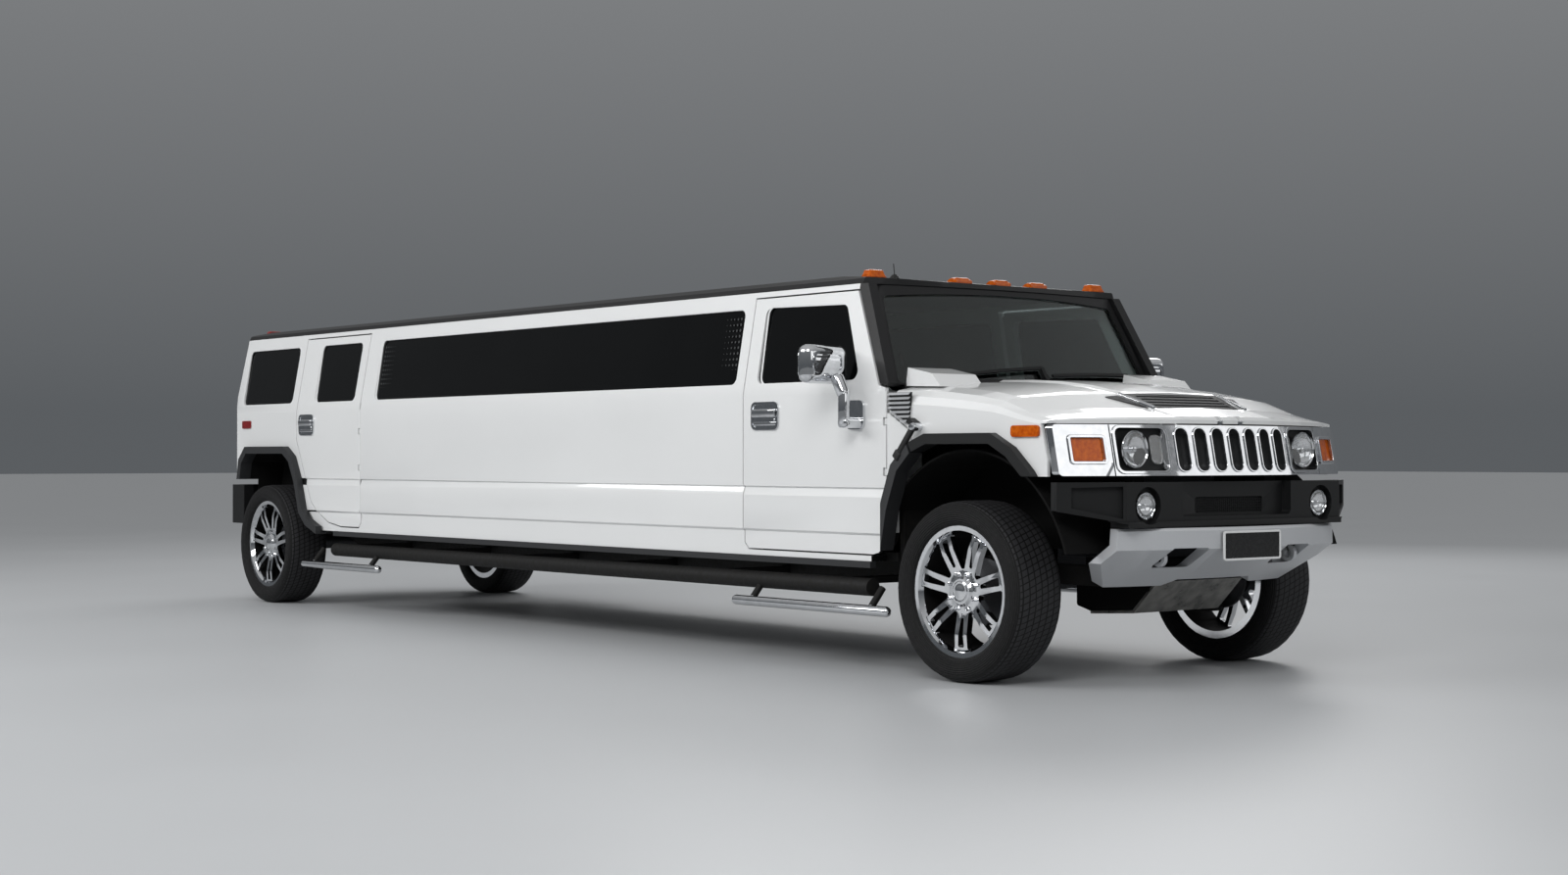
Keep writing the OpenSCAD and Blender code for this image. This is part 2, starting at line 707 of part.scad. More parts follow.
// Black panel behind the chrome that carries the lamps
module front_panel() {
  color("#19191a") car() {
    grille_sheet(-grille_t - seat, 20)
      rounded(-grille_w / 2 + 12, grille_z + 2, grille_w / 2 - 12, grille_z + grille_h - 14, 18);
    both_sides() {
      box(560, 600, rail_y0, rail_y1, rail_z1 + seat, 1000);
      box(560, grille_x - grille_t - 72, rail_y0, rail_y1, 962, 1000);
    }
  }
}
module clear_lamps() {
  color("#e8eef2", 0.8) car() both_sides() {
    intersection() {
      rod_x(400, grille_x, headlamp_y, lamp_z, headlamp_r);
      grille_sheet(-14, grille_t - 14) square([grille_w, 4000], center = true);
    }
    rod_x(fog_x - 12, fog_x + 18, fog_y, fog_z, fog_r);
  }
}
fog_y = 602;
fog_z = bumper_z - 104;
fog_x = 752;

module amber_lamps() {
  color("#e8891c", 0.9) car() {
    both_sides() grille_sheet(-6, grille_t - 6) translate([turn_y, lamp_z])
      rounded(-turn_w / 2 + seat, -turn_h / 2 + seat, turn_w / 2 - seat, turn_h / 2 - seat, 12);
    difference() {
      for (p = roof_lamps) translate([p[0], p[1], cant_z]) roof_lamp();
      roof_solid();
    }
  }
}
roof_lamps = [[-848, -777], [-774, -267], [-768, 0], [-774, 267], [-848, 777]];
module roof_lamp() {
  intersection() {
    box(-35, 35, -55, 55, 0, 52);
    rotate([90, 0, 0]) translate([0, 0, -60]) cylinder(h = 120, r = 52);
  }
}
module red_lamps() {
  color("#b3121a", 0.9) car() {
    difference() {
      for (s = [-1, 1]) translate([tail_x + 130, s * 740, cant_z]) roof_lamp();
      roof_solid();
    }
    both_sides() along_x(tail_x - 14, tail_x - seat) rounded(gate_w / 2 + 40, 930, gate_w / 2 + 160, 1240, 18);
    both_sides() along_y(side_y + seat, side_y + 8) rounded(rear_x - 440, 1236, rear_x - 300, 1290, 10);
  }
}

// Front bumper: a swept beam with lamp pockets and a middle recess
bumper_x = 790;
bumper_y = side_y + 15;
bumper_tail_x = 585;
module bumper_plan(d) {
  polygon([
    [bumper_x - d, -740], [bumper_x - d, 740], [620 - d, bumper_y - d], [bumper_tail_x, bumper_y - d], [bumper_tail_x, 960],
    [600 - d, 950 - d], [bumper_x - 90, 690], [bumper_x - 90, -690], [600 - d, d - 950], [bumper_tail_x, -960],
    [bumper_tail_x, d - bumper_y], [620 - d, d - bumper_y]]);
}
module front_bumper() {
  bumper_z0 = bumper_z - bumper_h;
  color("#1d1e20") car() {
    difference() {
      union() {
        along_z(bumper_z0 + 26, bumper_z) bumper_plan(0);
        along_z(bumper_z0, bumper_z0 + 26) translate([14, 0]) bumper_plan(0);
        both_sides() box(600 + seat, bumper_x - 80, rail_y0, rail_y1, bumper_z0 + 30, bumper_z - 60);
      }
      along_x(bumper_x - 50, bumper_x + 50) rounded(-380, bumper_z0 + 45, 380, bumper_z + 20, 24);
      along_x(bumper_x - 74, bumper_x + 50) rounded(-235, bumper_z0 + 58, 235, bumper_z0 + 130, 12);
      both_sides() along_x(bumper_x - 30, bumper_x + 50) translate([fog_y, fog_z]) circle(r = fog_r + 26);
      both_sides() along_y(740, side_y + 100) polygon([[400, bumper_z0 - 10], [400, bumper_z0 + 76], [610, bumper_z0 + 76],
        [bumper_x + 20, bumper_z0 + 14], [bumper_x + 20, bumper_z0 - 10]]);
      both_sides() translate([705, 870, 0]) rotate([0, 0, 33]) along_x(-26, 60)
        polygon([[-140, bumper_z - 18], [90, bumper_z - 24], [90, bumper_z0 + 88], [-140, bumper_z0 + 40]]);
      both_sides() along_x(fog_x - 12 - seat, bumper_x) translate([fog_y, fog_z]) circle(r = fog_r + seat);
    }
  }
}

// Silver guard under the bumper: a band curved in plan, upright above and raked back below, with tow openings
guard_plan_r = 2300;
guard_t = 42;
guard_z = 716;
guard_crease_z = 620;
guard_z0 = 446;
guard_rake = 250;
module guard_band() {
  translate([front_overhang - guard_plan_r, 0, 0]) rotate_extrude($fn = 360) polygon([
    [guard_plan_r - 10, guard_z], [guard_plan_r, guard_z - 12], [guard_plan_r, guard_crease_z],
    [guard_plan_r - guard_rake, guard_z0], [guard_plan_r - guard_rake - 20, guard_z0 + 28],
    [guard_plan_r - guard_t, guard_crease_z + 24], [guard_plan_r - guard_t, guard_z]]);
}
module bumper_guard() {
  color("#b9bcc0") car() {
    difference() {
      intersection() {
        guard_band();
        along_x(300, front_overhang + 50) polygon([
          [-748, guard_z], [748, guard_z], [757, 560], [612, guard_z0], [306, guard_z0], [248, guard_z0 + 28],
          [-248, guard_z0 + 28], [-306, guard_z0], [-612, guard_z0], [-757, 560]]);
      }
      both_sides() along_x(300, front_overhang + 50) soft_corners(14) polygon([[266, 626], [474, 626], [488, 536], [276, 536]]);
    }
    both_sides() box(600 + seat, front_overhang - 85, rail_y0 + 12, rail_y1 - 12, 650, 700);
    both_sides() box(600 + seat, 650, rail_y0, rail_y1, rail_z1 + seat, 700);
    both_sides() tow_hook();
  }
}
hook_x = 722;
hook_z = 578;
module tow_hook() {
  along_y(442, 464) difference() {
    union() {
      translate([hook_x, hook_z]) circle(r = 38);
      translate([630, hook_z - 23]) square([hook_x - 630, 46]);
    }
    translate([hook_x, hook_z]) circle(r = 20);
    translate([hook_x - 14, hook_z]) rotate(28) square([28, 80]);
  }
}
// Skid plate from the guard's centre notch down to the belly
module skid_plate() {
  color("#8d8f92") car() along_y(-295, 295) polygon([
    [572, 462], [424, 310], [150, 294], [150, 308], [414, 324], [552, 462]]);
}

module rear_bumper() {
  color("#1d1e20") car() {
    difference() {
      along_z(rear_bumper_z0, rear_bumper_z1) polygon([
        [rear_x - rear_overhang, -760], [rear_x - rear_overhang, 760], [rear_x - rear_overhang + 110, side_y],
        [rear_x - 425, side_y], [rear_x - 425, side_y - 80], [tail_x + 20, side_y - 100], [tail_x + 20, 100 - side_y],
        [rear_x - 425, 80 - side_y], [rear_x - 425, -side_y], [rear_x - rear_overhang + 110, -side_y]]);
      both_sides() along_y(0, 620) polygon([[rear_x - rear_overhang - 10, rear_bumper_z1 - 18],
        [rear_x - rear_overhang + 90, rear_bumper_z1 - 18], [rear_x - rear_overhang + 90, rear_bumper_z1 + 10],
        [rear_x - rear_overhang - 10, rear_bumper_z1 + 10]]);
    }
    both_sides() box(rear_x - 560, tail_x + 20, rail_y0, rail_y1, rear_bumper_z0, rear_bumper_z0 + 60);
  }
}
hitch_r = 8;
module hitch() {
  color("#242426") car() difference() {
    union() {
      box(rear_x - rear_overhang + 20, rear_x - 560, -32, 32, 430, 494);
      box(rear_x - 620, rear_x - 560, -rail_y1, rail_y1, 430, 470 - seat);
      both_sides() box(rear_x - 620, rear_x - 560 - seat, rail_y0, rail_y1, 430, rear_bumper_z0 - seat);
    }
    box(rear_x - rear_overhang, rear_x - 640, -25.5, 25.5, 436.5, 487.5);
    rod_y(-60, 60, rear_x - rear_overhang + 70, 462, hitch_r);
  }
}

// Wheel housings
liner_r = 640;
liner_t = 12;
module wheel_liners() {
  color("#161617") car() both_sides() {
    difference() {
      intersection() {
        rod_y(rail_y1 + 3, side_y - 42, 0, axle_z, liner_r + liner_t, $fn = 360);
        box(-530 + seat, 640, 0, side_y, axle_z + 190, 2000);
      }
      rod_y(rail_y1 + 3 + liner_t, side_y, 0, axle_z, liner_r, $fn = 360);
      box(-60, 60, rail_y1, rail_y1 + 40, 0, 660);
    }
    difference() {
      along_y(tub_y - liner_t, floor_y) offset(delta = liner_t) polygon(at_x(rear_arch_pts, rear_x));
      along_y(tub_y, floor_y + 1) polygon(at_x(rear_arch_pts, rear_x));
      box(rear_x - 2000, rear_x + 2000, 0, side_y, 0, floor_z + floor_t + seat);
    }
  }
}

module engine() {
  color("#5a5c5f") car() {
    box(-420, 400, -300, 300, 560, 1130);
    box(-420, -300, -150, 150, 380, 560);
    rod_x(-1150, -420, 0, axle_z + 24, 85);
  }
}
module drive_shaft() {
  color("#77797c") car() rod_x(rear_x + diff_r + 40, -1150 - seat, 0, axle_z + 10, 45);
}
diff_r = 105;
module exhaust() {
  color("#8b8175") car() {
    rod_x(rear_x + 1500, -1100, 260, cross_z - 35 - seat, 35);
    along_x(rear_x + 1100, rear_x + 1800) rounded(120, cross_z - 130, 405, cross_z - seat, 60);
    rod_x(rear_x + 760, rear_x + 1100, 330, cross_z - 65, 30);
  }
}
module fuel_tank() {
  color("#2c2d2f") car() along_x(rear_x + 1700, rear_x + 2800) rounded(-410, 345, -90, cross_z - seat, 30);
}

// Front suspension: wishbones on towers, with eyes round the steering pivots
arm_lo = axle_z - 146;
arm_hi = axle_z + 146;
arm_t = 30;
module front_suspension() {
  color("#3b3d40") car() both_sides() {
    difference() {
      union() {
        along_x(-32, 32) polygon([[rail_y1 + seat, 425], [rail_y1 + seat, 470], [pivot_y - 80, arm_lo + arm_t / 2],
          [pivot_y, arm_lo + arm_t / 2], [pivot_y, arm_lo - arm_t / 2], [pivot_y - 80, arm_lo - arm_t / 2]]);
        along_x(-28, 28) polygon([[rail_y1 + seat, 580], [rail_y1 + seat, 625], [pivot_y - 80, arm_hi + arm_t / 2],
          [pivot_y, arm_hi + arm_t / 2], [pivot_y, arm_hi - arm_t / 2], [pivot_y - 80, arm_hi - arm_t / 2]]);
        for (z = [arm_lo, arm_hi]) rod_z(z - arm_t / 2, z + arm_t / 2, 0, pivot_y, 32);
      }
      rod_z(0, 1000, 0, pivot_y, pin_r + hub_gap);
    }
  }
}
module knuckle_half() {
  rod_z(arm_lo + arm_t / 2 + 2, arm_hi - arm_t / 2 - 2, 0, pivot_y, 30);
  rod_z(arm_lo - arm_t / 2, arm_hi + arm_t / 2, 0, pivot_y, pin_r);
  rod_y(pivot_y, wheel_y + 52, 0, axle_z, spindle_r);
  rod_y(pivot_y + 40, pivot_y + 56, 0, axle_z, 150);
}
module rear_axle() {
  color("#3b3d40") car() {
    rod_y(-pivot_y, pivot_y, rear_x, axle_z, 45);
    translate([rear_x, 0, axle_z]) sphere(r = diff_r);
    rod_x(rear_x, rear_x + diff_r + 40 - seat, 0, axle_z + 10, 60);
    both_sides() {
      rod_y(pivot_y - 10, wheel_y + 52, rear_x, axle_z, spindle_r);
      rod_y(pivot_y + 40, pivot_y + 56, rear_x, axle_z, 150);
      box(rear_x - 40, rear_x + 655 - seat, rail_y0 + 30, rail_y1 - 30, 345, 375);
      box(rear_x - 40, rear_x + 40, rail_y0 + 30, rail_y1 - 30, 345, axle_z);
    }
  }
}

module dashboard() {
  color("#2a2725") car() {
    along_y(-820, 820) soft_corners(25) polygon([[-560 - seat, 960], [-560 - seat, 1290], [-700, 1300], [-860, 1260],
      [-900, 1160], [-840, 1000], [-760, 940]]);
    translate([-1010, -400, 1130]) rotate([0, -62, 0]) {
      rotate_extrude() translate([185, 0]) circle(r = 15);
      translate([0, 0, -20]) cylinder(h = 40, r = 60);
      for (a = [0, 120, 240]) rotate([0, 0, a + 90]) translate([0, -14, -8]) cube([180, 28, 16]);
      translate([0, 0, -190]) cylinder(h = 180, r = 26);
    }
  }
}

// Front seats, the long side bench and the rear bench
module seat_solid(w) {
  along_y(-w / 2, w / 2) soft_corners(30) polygon([[-1080, 573 - 0.2 + 30], [-1080, 860], [-1140, 900], [-1480, 860], [-1560, 1320],
    [-1660, 1320], [-1640, 850], [-1580, 603]]);
  along_y(-w / 2 + 20, w / 2 - 20) polygon([[-1150, floor_z + floor_t + seat], [-1150, 640], [-1560, 640],
    [-1560, floor_z + floor_t + seat]]);
  along_y(-130, 130) soft_corners(25) polygon([[-1560, 1310], [-1570, 1500], [-1650, 1500], [-1660, 1310]]);
}
module seats() {
  color("#b9a27e") car() {
    for (y = [-400, 400]) translate([0, y, 0]) seat_solid(520);
    bench_z = floor_z + floor_t + seat;
    box(rear_x + 1500, -2100, 240, floor_y - 2, bench_z, 900);
    box(rear_x + 1500, -2100, 640, 780, 900, 1330);
    box(rear_x - 60, rear_x + 560, -tub_y + 30, tub_y - 30, bench_z, 900);
    box(rear_x - 240, rear_x - 60, -tub_y + 30, tub_y - 30, bench_z, 1400);
  }
}

// Hood: a sheet lofted through stations from the windshield to the grille
// columns: x of the middle, height of the middle, sweep of the sides, share of the side drop
hood_stations = [
  [-400, 1412, 95, 1.0], [-200, 1407, 110, 1.0], [0, 1395, 125, 1.0], [200, 1372, 140, 0.95], [380, 1336, 160, 0.8],
  [560, 1262, 180, 0.5], [690, 1228, 195, 0.4], [735, 1216, 200, 0.3], [752, 1200, 204, 0.08]
];
// columns: half width, drop below the middle, share of the sheet's depth taken in Y and in Z
hood_columns = [
  [0, 0, 0, 1], [318, 3, 0, 1], [345, 14, 0, 1], [600, 22, 0, 1], [850, 44, 0, 1], [side_y - 50, 64, 0.4, 1],
  [side_y - 14, 92, 0.9, 0.7], [side_y, 130, 1, 0.3]
];
hood_row = concat([for (c = rev(hood_columns)) [-c[0], c[1], -c[2], c[3]]],
  [for (i = [1:len(hood_columns) - 1]) hood_columns[i]]);
function hood_x(s, y) = s[0] - s[2] * (y / side_y) * (y / side_y);
function hood_pt(s, c, d) = [hood_x(s, c[0]), c[0] - c[2] * d, s[1] - c[1] * s[3] - c[3] * d];
function hood_foot(s, sgn, d) = [hood_x(s, side_y), sgn * (side_y - d), hood_side_z - 60];
function hood_ring(s, d) = concat([hood_foot(s, -1, d)], [for (c = hood_row) hood_pt(s, c, d)], [hood_foot(s, 1, d)]);
module sheet_loft(outer, inner) {
  m = len(outer);
  n = len(outer[0]);
  pts = concat([for (r = outer) each r], [for (r = inner) each r]);
  k = m * n;
  polyhedron(points = pts, convexity = 6, faces = concat(
    [for (i = [0:m - 2]) for (j = [0:n - 2]) [i * n + j, i * n + j + 1, (i + 1) * n + j + 1]],
    [for (i = [0:m - 2]) for (j = [0:n - 2]) [i * n + j, (i + 1) * n + j + 1, (i + 1) * n + j]],
    [for (i = [0:m - 2]) for (j = [0:n - 2]) [k + i * n + j, k + (i + 1) * n + j + 1, k + i * n + j + 1]],
    [for (i = [0:m - 2]) for (j = [0:n - 2]) [k + i * n + j, k + (i + 1) * n + j, k + (i + 1) * n + j + 1]],
    [for (j = [0:n - 2]) [j, k + j, k + j + 1]], [for (j = [0:n - 2]) [j, k + j + 1, j + 1]],
    [for (j = [0:n - 2]) [(m - 1) * n + j, k + (m - 1) * n + j + 1, k + (m - 1) * n + j]],
    [for (j = [0:n - 2]) [(m - 1) * n + j, (m - 1) * n + j + 1, k + (m - 1) * n + j + 1]],
    [for (i = [0:m - 2]) [i * n, (i + 1) * n, k + (i + 1) * n]], [for (i = [0:m - 2]) [i * n, k + (i + 1) * n, k + i * n]],
    [for (i = [0:m - 2]) [i * n + n - 1, k + (i + 1) * n + n - 1, (i + 1) * n + n - 1]],
    [for (i = [0:m - 2]) [i * n + n - 1, k + i * n + n - 1, k + (i + 1) * n + n - 1]]));
}
module hood_sheet() {
  sheet_loft([for (s = hood_stations) hood_ring(s, 0)], [for (s = hood_stations) hood_ring(s, hood_t)]);
}
vent_pts = [[572, -300], [572, 300], [384, 326], [384, -326]];
module hood() {
  color("#f2f2f0") car() {
    difference() {
      union() {
        hood_sheet();
        both_sides() scoop();
      }
      along_z(1100, 1500) polygon(vent_pts);
      along_y(-side_y - 10, side_y + 10) front_arch_2d();
      both_sides() through_wall() polygon(concat([[-245, 700]], seam_pts, [[-700, 1600], [-700, 700]]));
      both_sides() through_wall() polygon([[300, 700], [300, hood_side_z], [566, hood_side_z], [508, grille_z + grille_h + 4],
        [800, grille_z + grille_h + 4], [800, 700]]);
      for (s = [-1, 1]) translate([0, s * hood_hinge_y, 0])
        box(hood_axis_x - 24, hood_axis_x + 20, -hood_barrel_w / 2 - barrel_gap, hood_barrel_w / 2 + barrel_gap,
          hood_axis_z - 40, hood_axis_z + 30);
    }
    for (s = [-1, 1]) translate([0, s * hood_hinge_y, 0])
      rod_y(-hood_barrel_w / 2 - barrel_gap - 4, hood_barrel_w / 2 + barrel_gap + 4, hood_axis_x, hood_axis_z, hinge_pin_r);
  }
}
// Raised air boxes at the rear corners of the hood
module scoop() {
  difference() {
    along_y(610, 890) polygon([[-240, 1362], [-300, 1425], [-470, 1458], [-484, 1370]]);
    along_y(640, 860) polygon([[-420, 1385], [-420, 1432], [-600, 1440], [-600, 1385]]);
  }
}
module hood_trim() {
  color("#1f2022") car() {
    difference() {
      intersection() {
        along_y(-340, 340) polygon([[574, 1246], [384, 1326], [384, 1314], [574, 1234]]);
        along_z(1100, 1500) offset(delta = -seat) polygon(vent_pts);
      }
      for (i = [0:4]) translate([410 + i * 33, 0, 0]) box(0, 14, -270, 270, 1100, 1500);
    }
    both_sides() {
      along_y(side_y + seat, side_y + flare_t) hood_flare_2d() arch_band(front_arch_pts);
      along_y(side_y - flare_in, side_y + 1) hood_flare_2d() arch_edge(front_arch_pts);
      along_y(side_y + seat, side_y + 9) polygon([[-488, 1258], [-488, 1336], [-330, 1336], [-352, 1184]]);
      along_y(side_y + seat, side_y + flare_t) polygon([[-285, 1170], [-270, 1190], [-315, 1215], [-330, 1195]]);
    }
  }
}
module hood_flare_2d() {
  intersection() {
    children();
    polygon([[-240, 1022], [-294, 1054], [-360, 1175], [600, 1175], [600, hood_side_z], [-240, hood_side_z]]);
  }
}
module hood_markers() {
  color("#e8891c", 0.9) car() both_sides() along_y(side_y + seat, side_y + 12) rounded(330, 1120, 505, 1172, 16);
}

module mirror_half() {
  translate([-820, 1150, 1490]) rotate([0, 0, -8]) along_x(-45, 45) rounded(-125, -90, 125, 90, 40);
  difference() {
    for (d = [0, 60]) translate([-700 - d, side_y, 1225 + d]) rotate([-38, -14, 0]) cylinder(h = 260, r = 14);
    box(-1000, -500, 800, side_y + seat, 1000, 1600);
  }
  along_y(side_y + seat, side_y + 12) rounded(-800, 1180, -650, 1320, 30);
}
module handle_half(x, z) {
  along_y(side_y + seat, side_y + 10) rounded(x - 95, z - 32, x + 95, z + 32, 22);
  along_y(side_y + 10, side_y + 26) rounded(x - 82, z - 4, x + 82, z + 20, 10);
}
handle_z = 1240;

module tailgate() {
  color("#f2f2f0") car() difference() {
    union() {
      along_y(-gate_w / 2, gate_w / 2) polygon([
        [tail_x, gate_z0], [tail_x, belt_z], [gate_axis_x - gate_hem_r, gate_axis_z], [gate_axis_x + gate_t - 8, gate_axis_z],
        [tail_x + gate_t, belt_z], [tail_x + gate_t, gate_z0]]);
      rod_y(-gate_w / 2, gate_w / 2, gate_axis_x, gate_axis_z, gate_hem_r);
    }
    along_x(tail_x - 100, tail_x + 300) gate_win_2d();
    along_x(tail_x - 10, tail_x + 18) rounded(-260, 930, 260, 1060, 20);
    for (s = [-1, 1]) translate([0, s * gate_hinge_y, 0])
      box(gate_axis_x - 30, gate_axis_x + gate_t + 10, -barrel_h / 2 - barrel_gap, barrel_h / 2 + barrel_gap,
        gate_axis_z - notch_in, cant_z);
  }
  color("#f2f2f0") car() for (s = [-1, 1]) translate([0, s * gate_hinge_y, 0])
    rod_y(-barrel_h / 2 - barrel_gap - 4, barrel_h / 2 + barrel_gap + 4, gate_axis_x, gate_axis_z, hinge_pin_r);
  color("#f2f2f0") car() along_x(tail_x - 14, tail_x) rounded(-120, 1100, 120, 1140, 12);
}
module gate_win_2d() { rounded(-640, belt_z + 20, 640, cant_z - 110, 40); }
gate_lean = atan2(gate_axis_x - gate_hem_r - tail_x, gate_axis_z - belt_z);
module tailgate_glass() {
  color("#14181a", 0.7) car() intersection() {
    along_y(-700, 700) polygon([[tail_x + 12, belt_z], [tail_x + 12 + (cant_z - belt_z) * tan(gate_lean), cant_z],
      [tail_x + 18 + (cant_z - belt_z) * tan(gate_lean), cant_z], [tail_x + 18, belt_z]]);
    along_x(tail_x - 100, tail_x + 300) offset(delta = -seat) gate_win_2d();
  }
}

// Wheels, built round Z with the outer face up, then laid on their axle
module wheel_at(x, side) {
  translate([x, side * wheel_y, axle_z]) rotate([side > 0 ? -90 : 90, 0, 0]) children();
}
seat_r = rim_r - 14;
module tyre_solid() {
  color("#1a1a1a") rotate_extrude($fn = 96) difference() {
    rounded(seat_r + seat, -tyre_w / 2, tyre_r, tyre_w / 2, 45);
    for (s = [-1, 1]) translate([0, s * (tyre_w / 2 + rim_w / 2) / 2])
      square([2 * (rim_r + seat), tyre_w / 2 - rim_w / 2 + 2 * (12 + seat)], center = true);
  }
}
face_z = rim_w / 2;
module rim_solid() {
  color("#d6d8db") {
    rotate_extrude($fn = 96) polygon([
      [seat_r, -face_z], [rim_r, -face_z], [rim_r, -face_z + 8], [seat_r, -face_z + 12], [seat_r, face_z - 12],
      [rim_r, face_z - 8], [rim_r, face_z], [seat_r - 8, face_z - 2], [seat_r - 22, face_z - 26], [seat_r - 22, -face_z]]);
    difference() {
      rotate_extrude($fn = 96) polygon([
        [0, face_z - 92], [0, face_z - 8], [58, face_z - 8], [70, face_z - 22], [100, face_z - 26], [200, face_z - 10],
        [seat_r - 21, face_z - 14], [seat_r - 21, face_z - 40], [190, face_z - 44], [90, face_z - 62], [76, face_z - 92]]);
      translate([0, 0, -face_z]) cylinder(h = 2 * face_z - 40, r = spindle_r + hub_gap);
      for (i = [0:spokes - 1]) rotate([0, 0, i * 360 / spokes - 90 + 180 / spokes]) spoke_window();
      for (i = [0:spokes - 1]) rotate([0, 0, i * 360 / spokes - 90]) spoke_slot();
    }
  }
}
module spoke_window() {
  translate([0, 0, -face_z]) linear_extrude(3 * face_z) soft_corners(12) polygon([
    [104, -10], [104, 10], [seat_r - 30, 78], [seat_r - 22, 40], [seat_r - 20, 0], [seat_r - 22, -40], [seat_r - 30, -78]]);
}
module spoke_slot() {
  translate([0, 0, -face_z]) linear_extrude(3 * face_z) soft_corners(8) polygon([
    [120, -9], [120, 9], [seat_r - 34, 20], [seat_r - 34, -20]]);
}

frame();
floor_pan();  // floor
firewall();
roof();
windshield_frame();
cowl_sides();
side_panels();
quarter_panels();
windshield();
side_glass();
cladding();
rock_rails();
side_steps();
grille();
front_panel();
front_bumper();
bumper_guard();
skid_plate();
clear_lamps();
amber_lamps();
red_lamps();
rear_bumper();
hitch();
wheel_liners();
engine();
drive_shaft();
exhaust();
fuel_tank();
front_suspension();
rear_axle();
dashboard();
seats();
wipers();
hood();
hood_trim();
hood_markers();
color("#f2f2f0") car() front_door_half();  // front_door_left
color("#14181a", 0.7) car() pane_in(fd_x0, fd_x1) front_win_2d();  // front_door_left_glass
color("#d8dadc") car() {  // front_door_left_chrome
  mirror_half();
  handle_half(fd_x1 + 182, handle_z);
}
color("#f2f2f0") car() right_side() front_door_half();  // front_door_right
color("#14181a", 0.7) car() right_side() pane_in(fd_x0, fd_x1) front_win_2d();  // front_door_right_glass
color("#d8dadc") car() right_side() {  // front_door_right_chrome
  mirror_half();
  handle_half(fd_x1 + 182, handle_z);
}
color("#f2f2f0") car() rear_door_half();  // rear_door_left
color("#14181a", 0.7) car() pane_in(rd_x0, rd_x1) rear_win_2d();  // rear_door_left_glass
color("#d8dadc") car() handle_half(rd_x1 + 150, handle_z);  // rear_door_left_handle
color("#f2f2f0") car() right_side() rear_door_half();  // rear_door_right
color("#14181a", 0.7) car() right_side() pane_in(rd_x0, rd_x1) rear_win_2d();  // rear_door_right_glass
color("#d8dadc") car() right_side() handle_half(rd_x1 + 150, handle_z);  // rear_door_right_handle
tailgate();
tailgate_glass();
color("#6d6f72") car() knuckle_half();  // knuckle_left
color("#6d6f72") car() right_side() knuckle_half();  // knuckle_right
car() wheel_at(0, 1) tyre_solid();  // tyre_front_left
car() wheel_at(0, 1) rim_solid();  // rim_front_left
car() wheel_at(0, -1) tyre_solid();  // tyre_front_right
car() wheel_at(0, -1) rim_solid();  // rim_front_right
car() wheel_at(rear_x, 1) tyre_solid();  // tyre_rear_left
car() wheel_at(rear_x, 1) rim_solid();  // rim_rear_left
car() wheel_at(rear_x, -1) tyre_solid();  // tyre_rear_right
car() wheel_at(rear_x, -1) rim_solid();  // rim_rear_right
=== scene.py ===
"""Looks of the white stretch limousine: finishes, glass, lamps, tyres, trim and seats on its solids."""

import json
import math

import bmesh
import bpy
from mathutils import Matrix, Vector
from mathutils.bvhtree import BVHTree


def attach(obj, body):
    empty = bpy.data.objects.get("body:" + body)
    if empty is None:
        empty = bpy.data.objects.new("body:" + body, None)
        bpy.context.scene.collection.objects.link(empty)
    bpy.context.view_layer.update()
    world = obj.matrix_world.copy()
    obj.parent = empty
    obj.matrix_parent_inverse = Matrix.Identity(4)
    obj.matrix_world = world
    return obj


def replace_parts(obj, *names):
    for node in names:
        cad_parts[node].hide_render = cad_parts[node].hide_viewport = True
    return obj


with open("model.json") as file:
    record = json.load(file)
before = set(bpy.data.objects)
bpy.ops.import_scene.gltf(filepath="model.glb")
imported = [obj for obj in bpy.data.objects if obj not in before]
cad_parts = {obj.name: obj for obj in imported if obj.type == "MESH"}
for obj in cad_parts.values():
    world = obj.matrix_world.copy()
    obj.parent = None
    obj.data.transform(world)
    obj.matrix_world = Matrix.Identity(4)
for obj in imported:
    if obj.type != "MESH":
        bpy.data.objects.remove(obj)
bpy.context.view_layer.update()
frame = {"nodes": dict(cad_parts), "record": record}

# Car's own places, in metres: +X forward, +Y to the car's left, +Z up.
FRONT_AXLE = 3.5
REAR_AXLE = FRONT_AXLE - 7.145
AXLE_Z = 0.416
SIDE_Y = 0.985
BELT_Z, BELT_Y = 1.390, 0.965
CANT_Z, CANT_Y = 1.880, 0.890
# Offset of pieces that lie on the skin.
SKIN_GAP = 0.0005
# How far the window band leans inwards for each metre up.
BAND_LEAN = (BELT_Y - CANT_Y) / (CANT_Z - BELT_Z)
SIDES = (("left", 1), ("right", -1))
BODY_OF = {node: body for body, nodes in frame["record"]["behaviour"]["bodies"].items() for node in nodes}
# Points nearer than this are one point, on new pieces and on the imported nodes.
MERGE = 1e-6
NODE_MERGE = 1e-5
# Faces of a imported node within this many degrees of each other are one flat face.
FLAT_ANGLE = 0.4


def linear(code):
    """An sRGB hex colour as the linear colour that a shader takes."""
    parts = [int(code[i:i + 2], 16) / 255 for i in (1, 3, 5)]
    return [*(c / 12.92 if c < 0.04045 else ((c + 0.055) / 1.055) ** 2.4 for c in parts), 1.0]


def add(tree, kind, inputs=None, **settings):
    """One shader node with its settings, and a value or a link for each input named."""
    node = tree.nodes.new("ShaderNode" + kind)
    for name, value in settings.items():
        setattr(node, name, value)
    for key, value in (inputs or {}).items():
        if isinstance(value, bpy.types.NodeSocket):
            tree.links.new(value, node.inputs[key])
        else:
            node.inputs[key].default_value = value
    return node


def new_material(name, sockets):
    """A material with one Principled shader whose constant sockets are set."""
    mat = bpy.data.materials.new(name)
    mat.use_nodes = True
    tree = mat.node_tree
    shader = tree.nodes["Principled BSDF"]
    for key, value in sockets.items():
        shader.inputs[key].default_value = value
    return mat, tree, shader


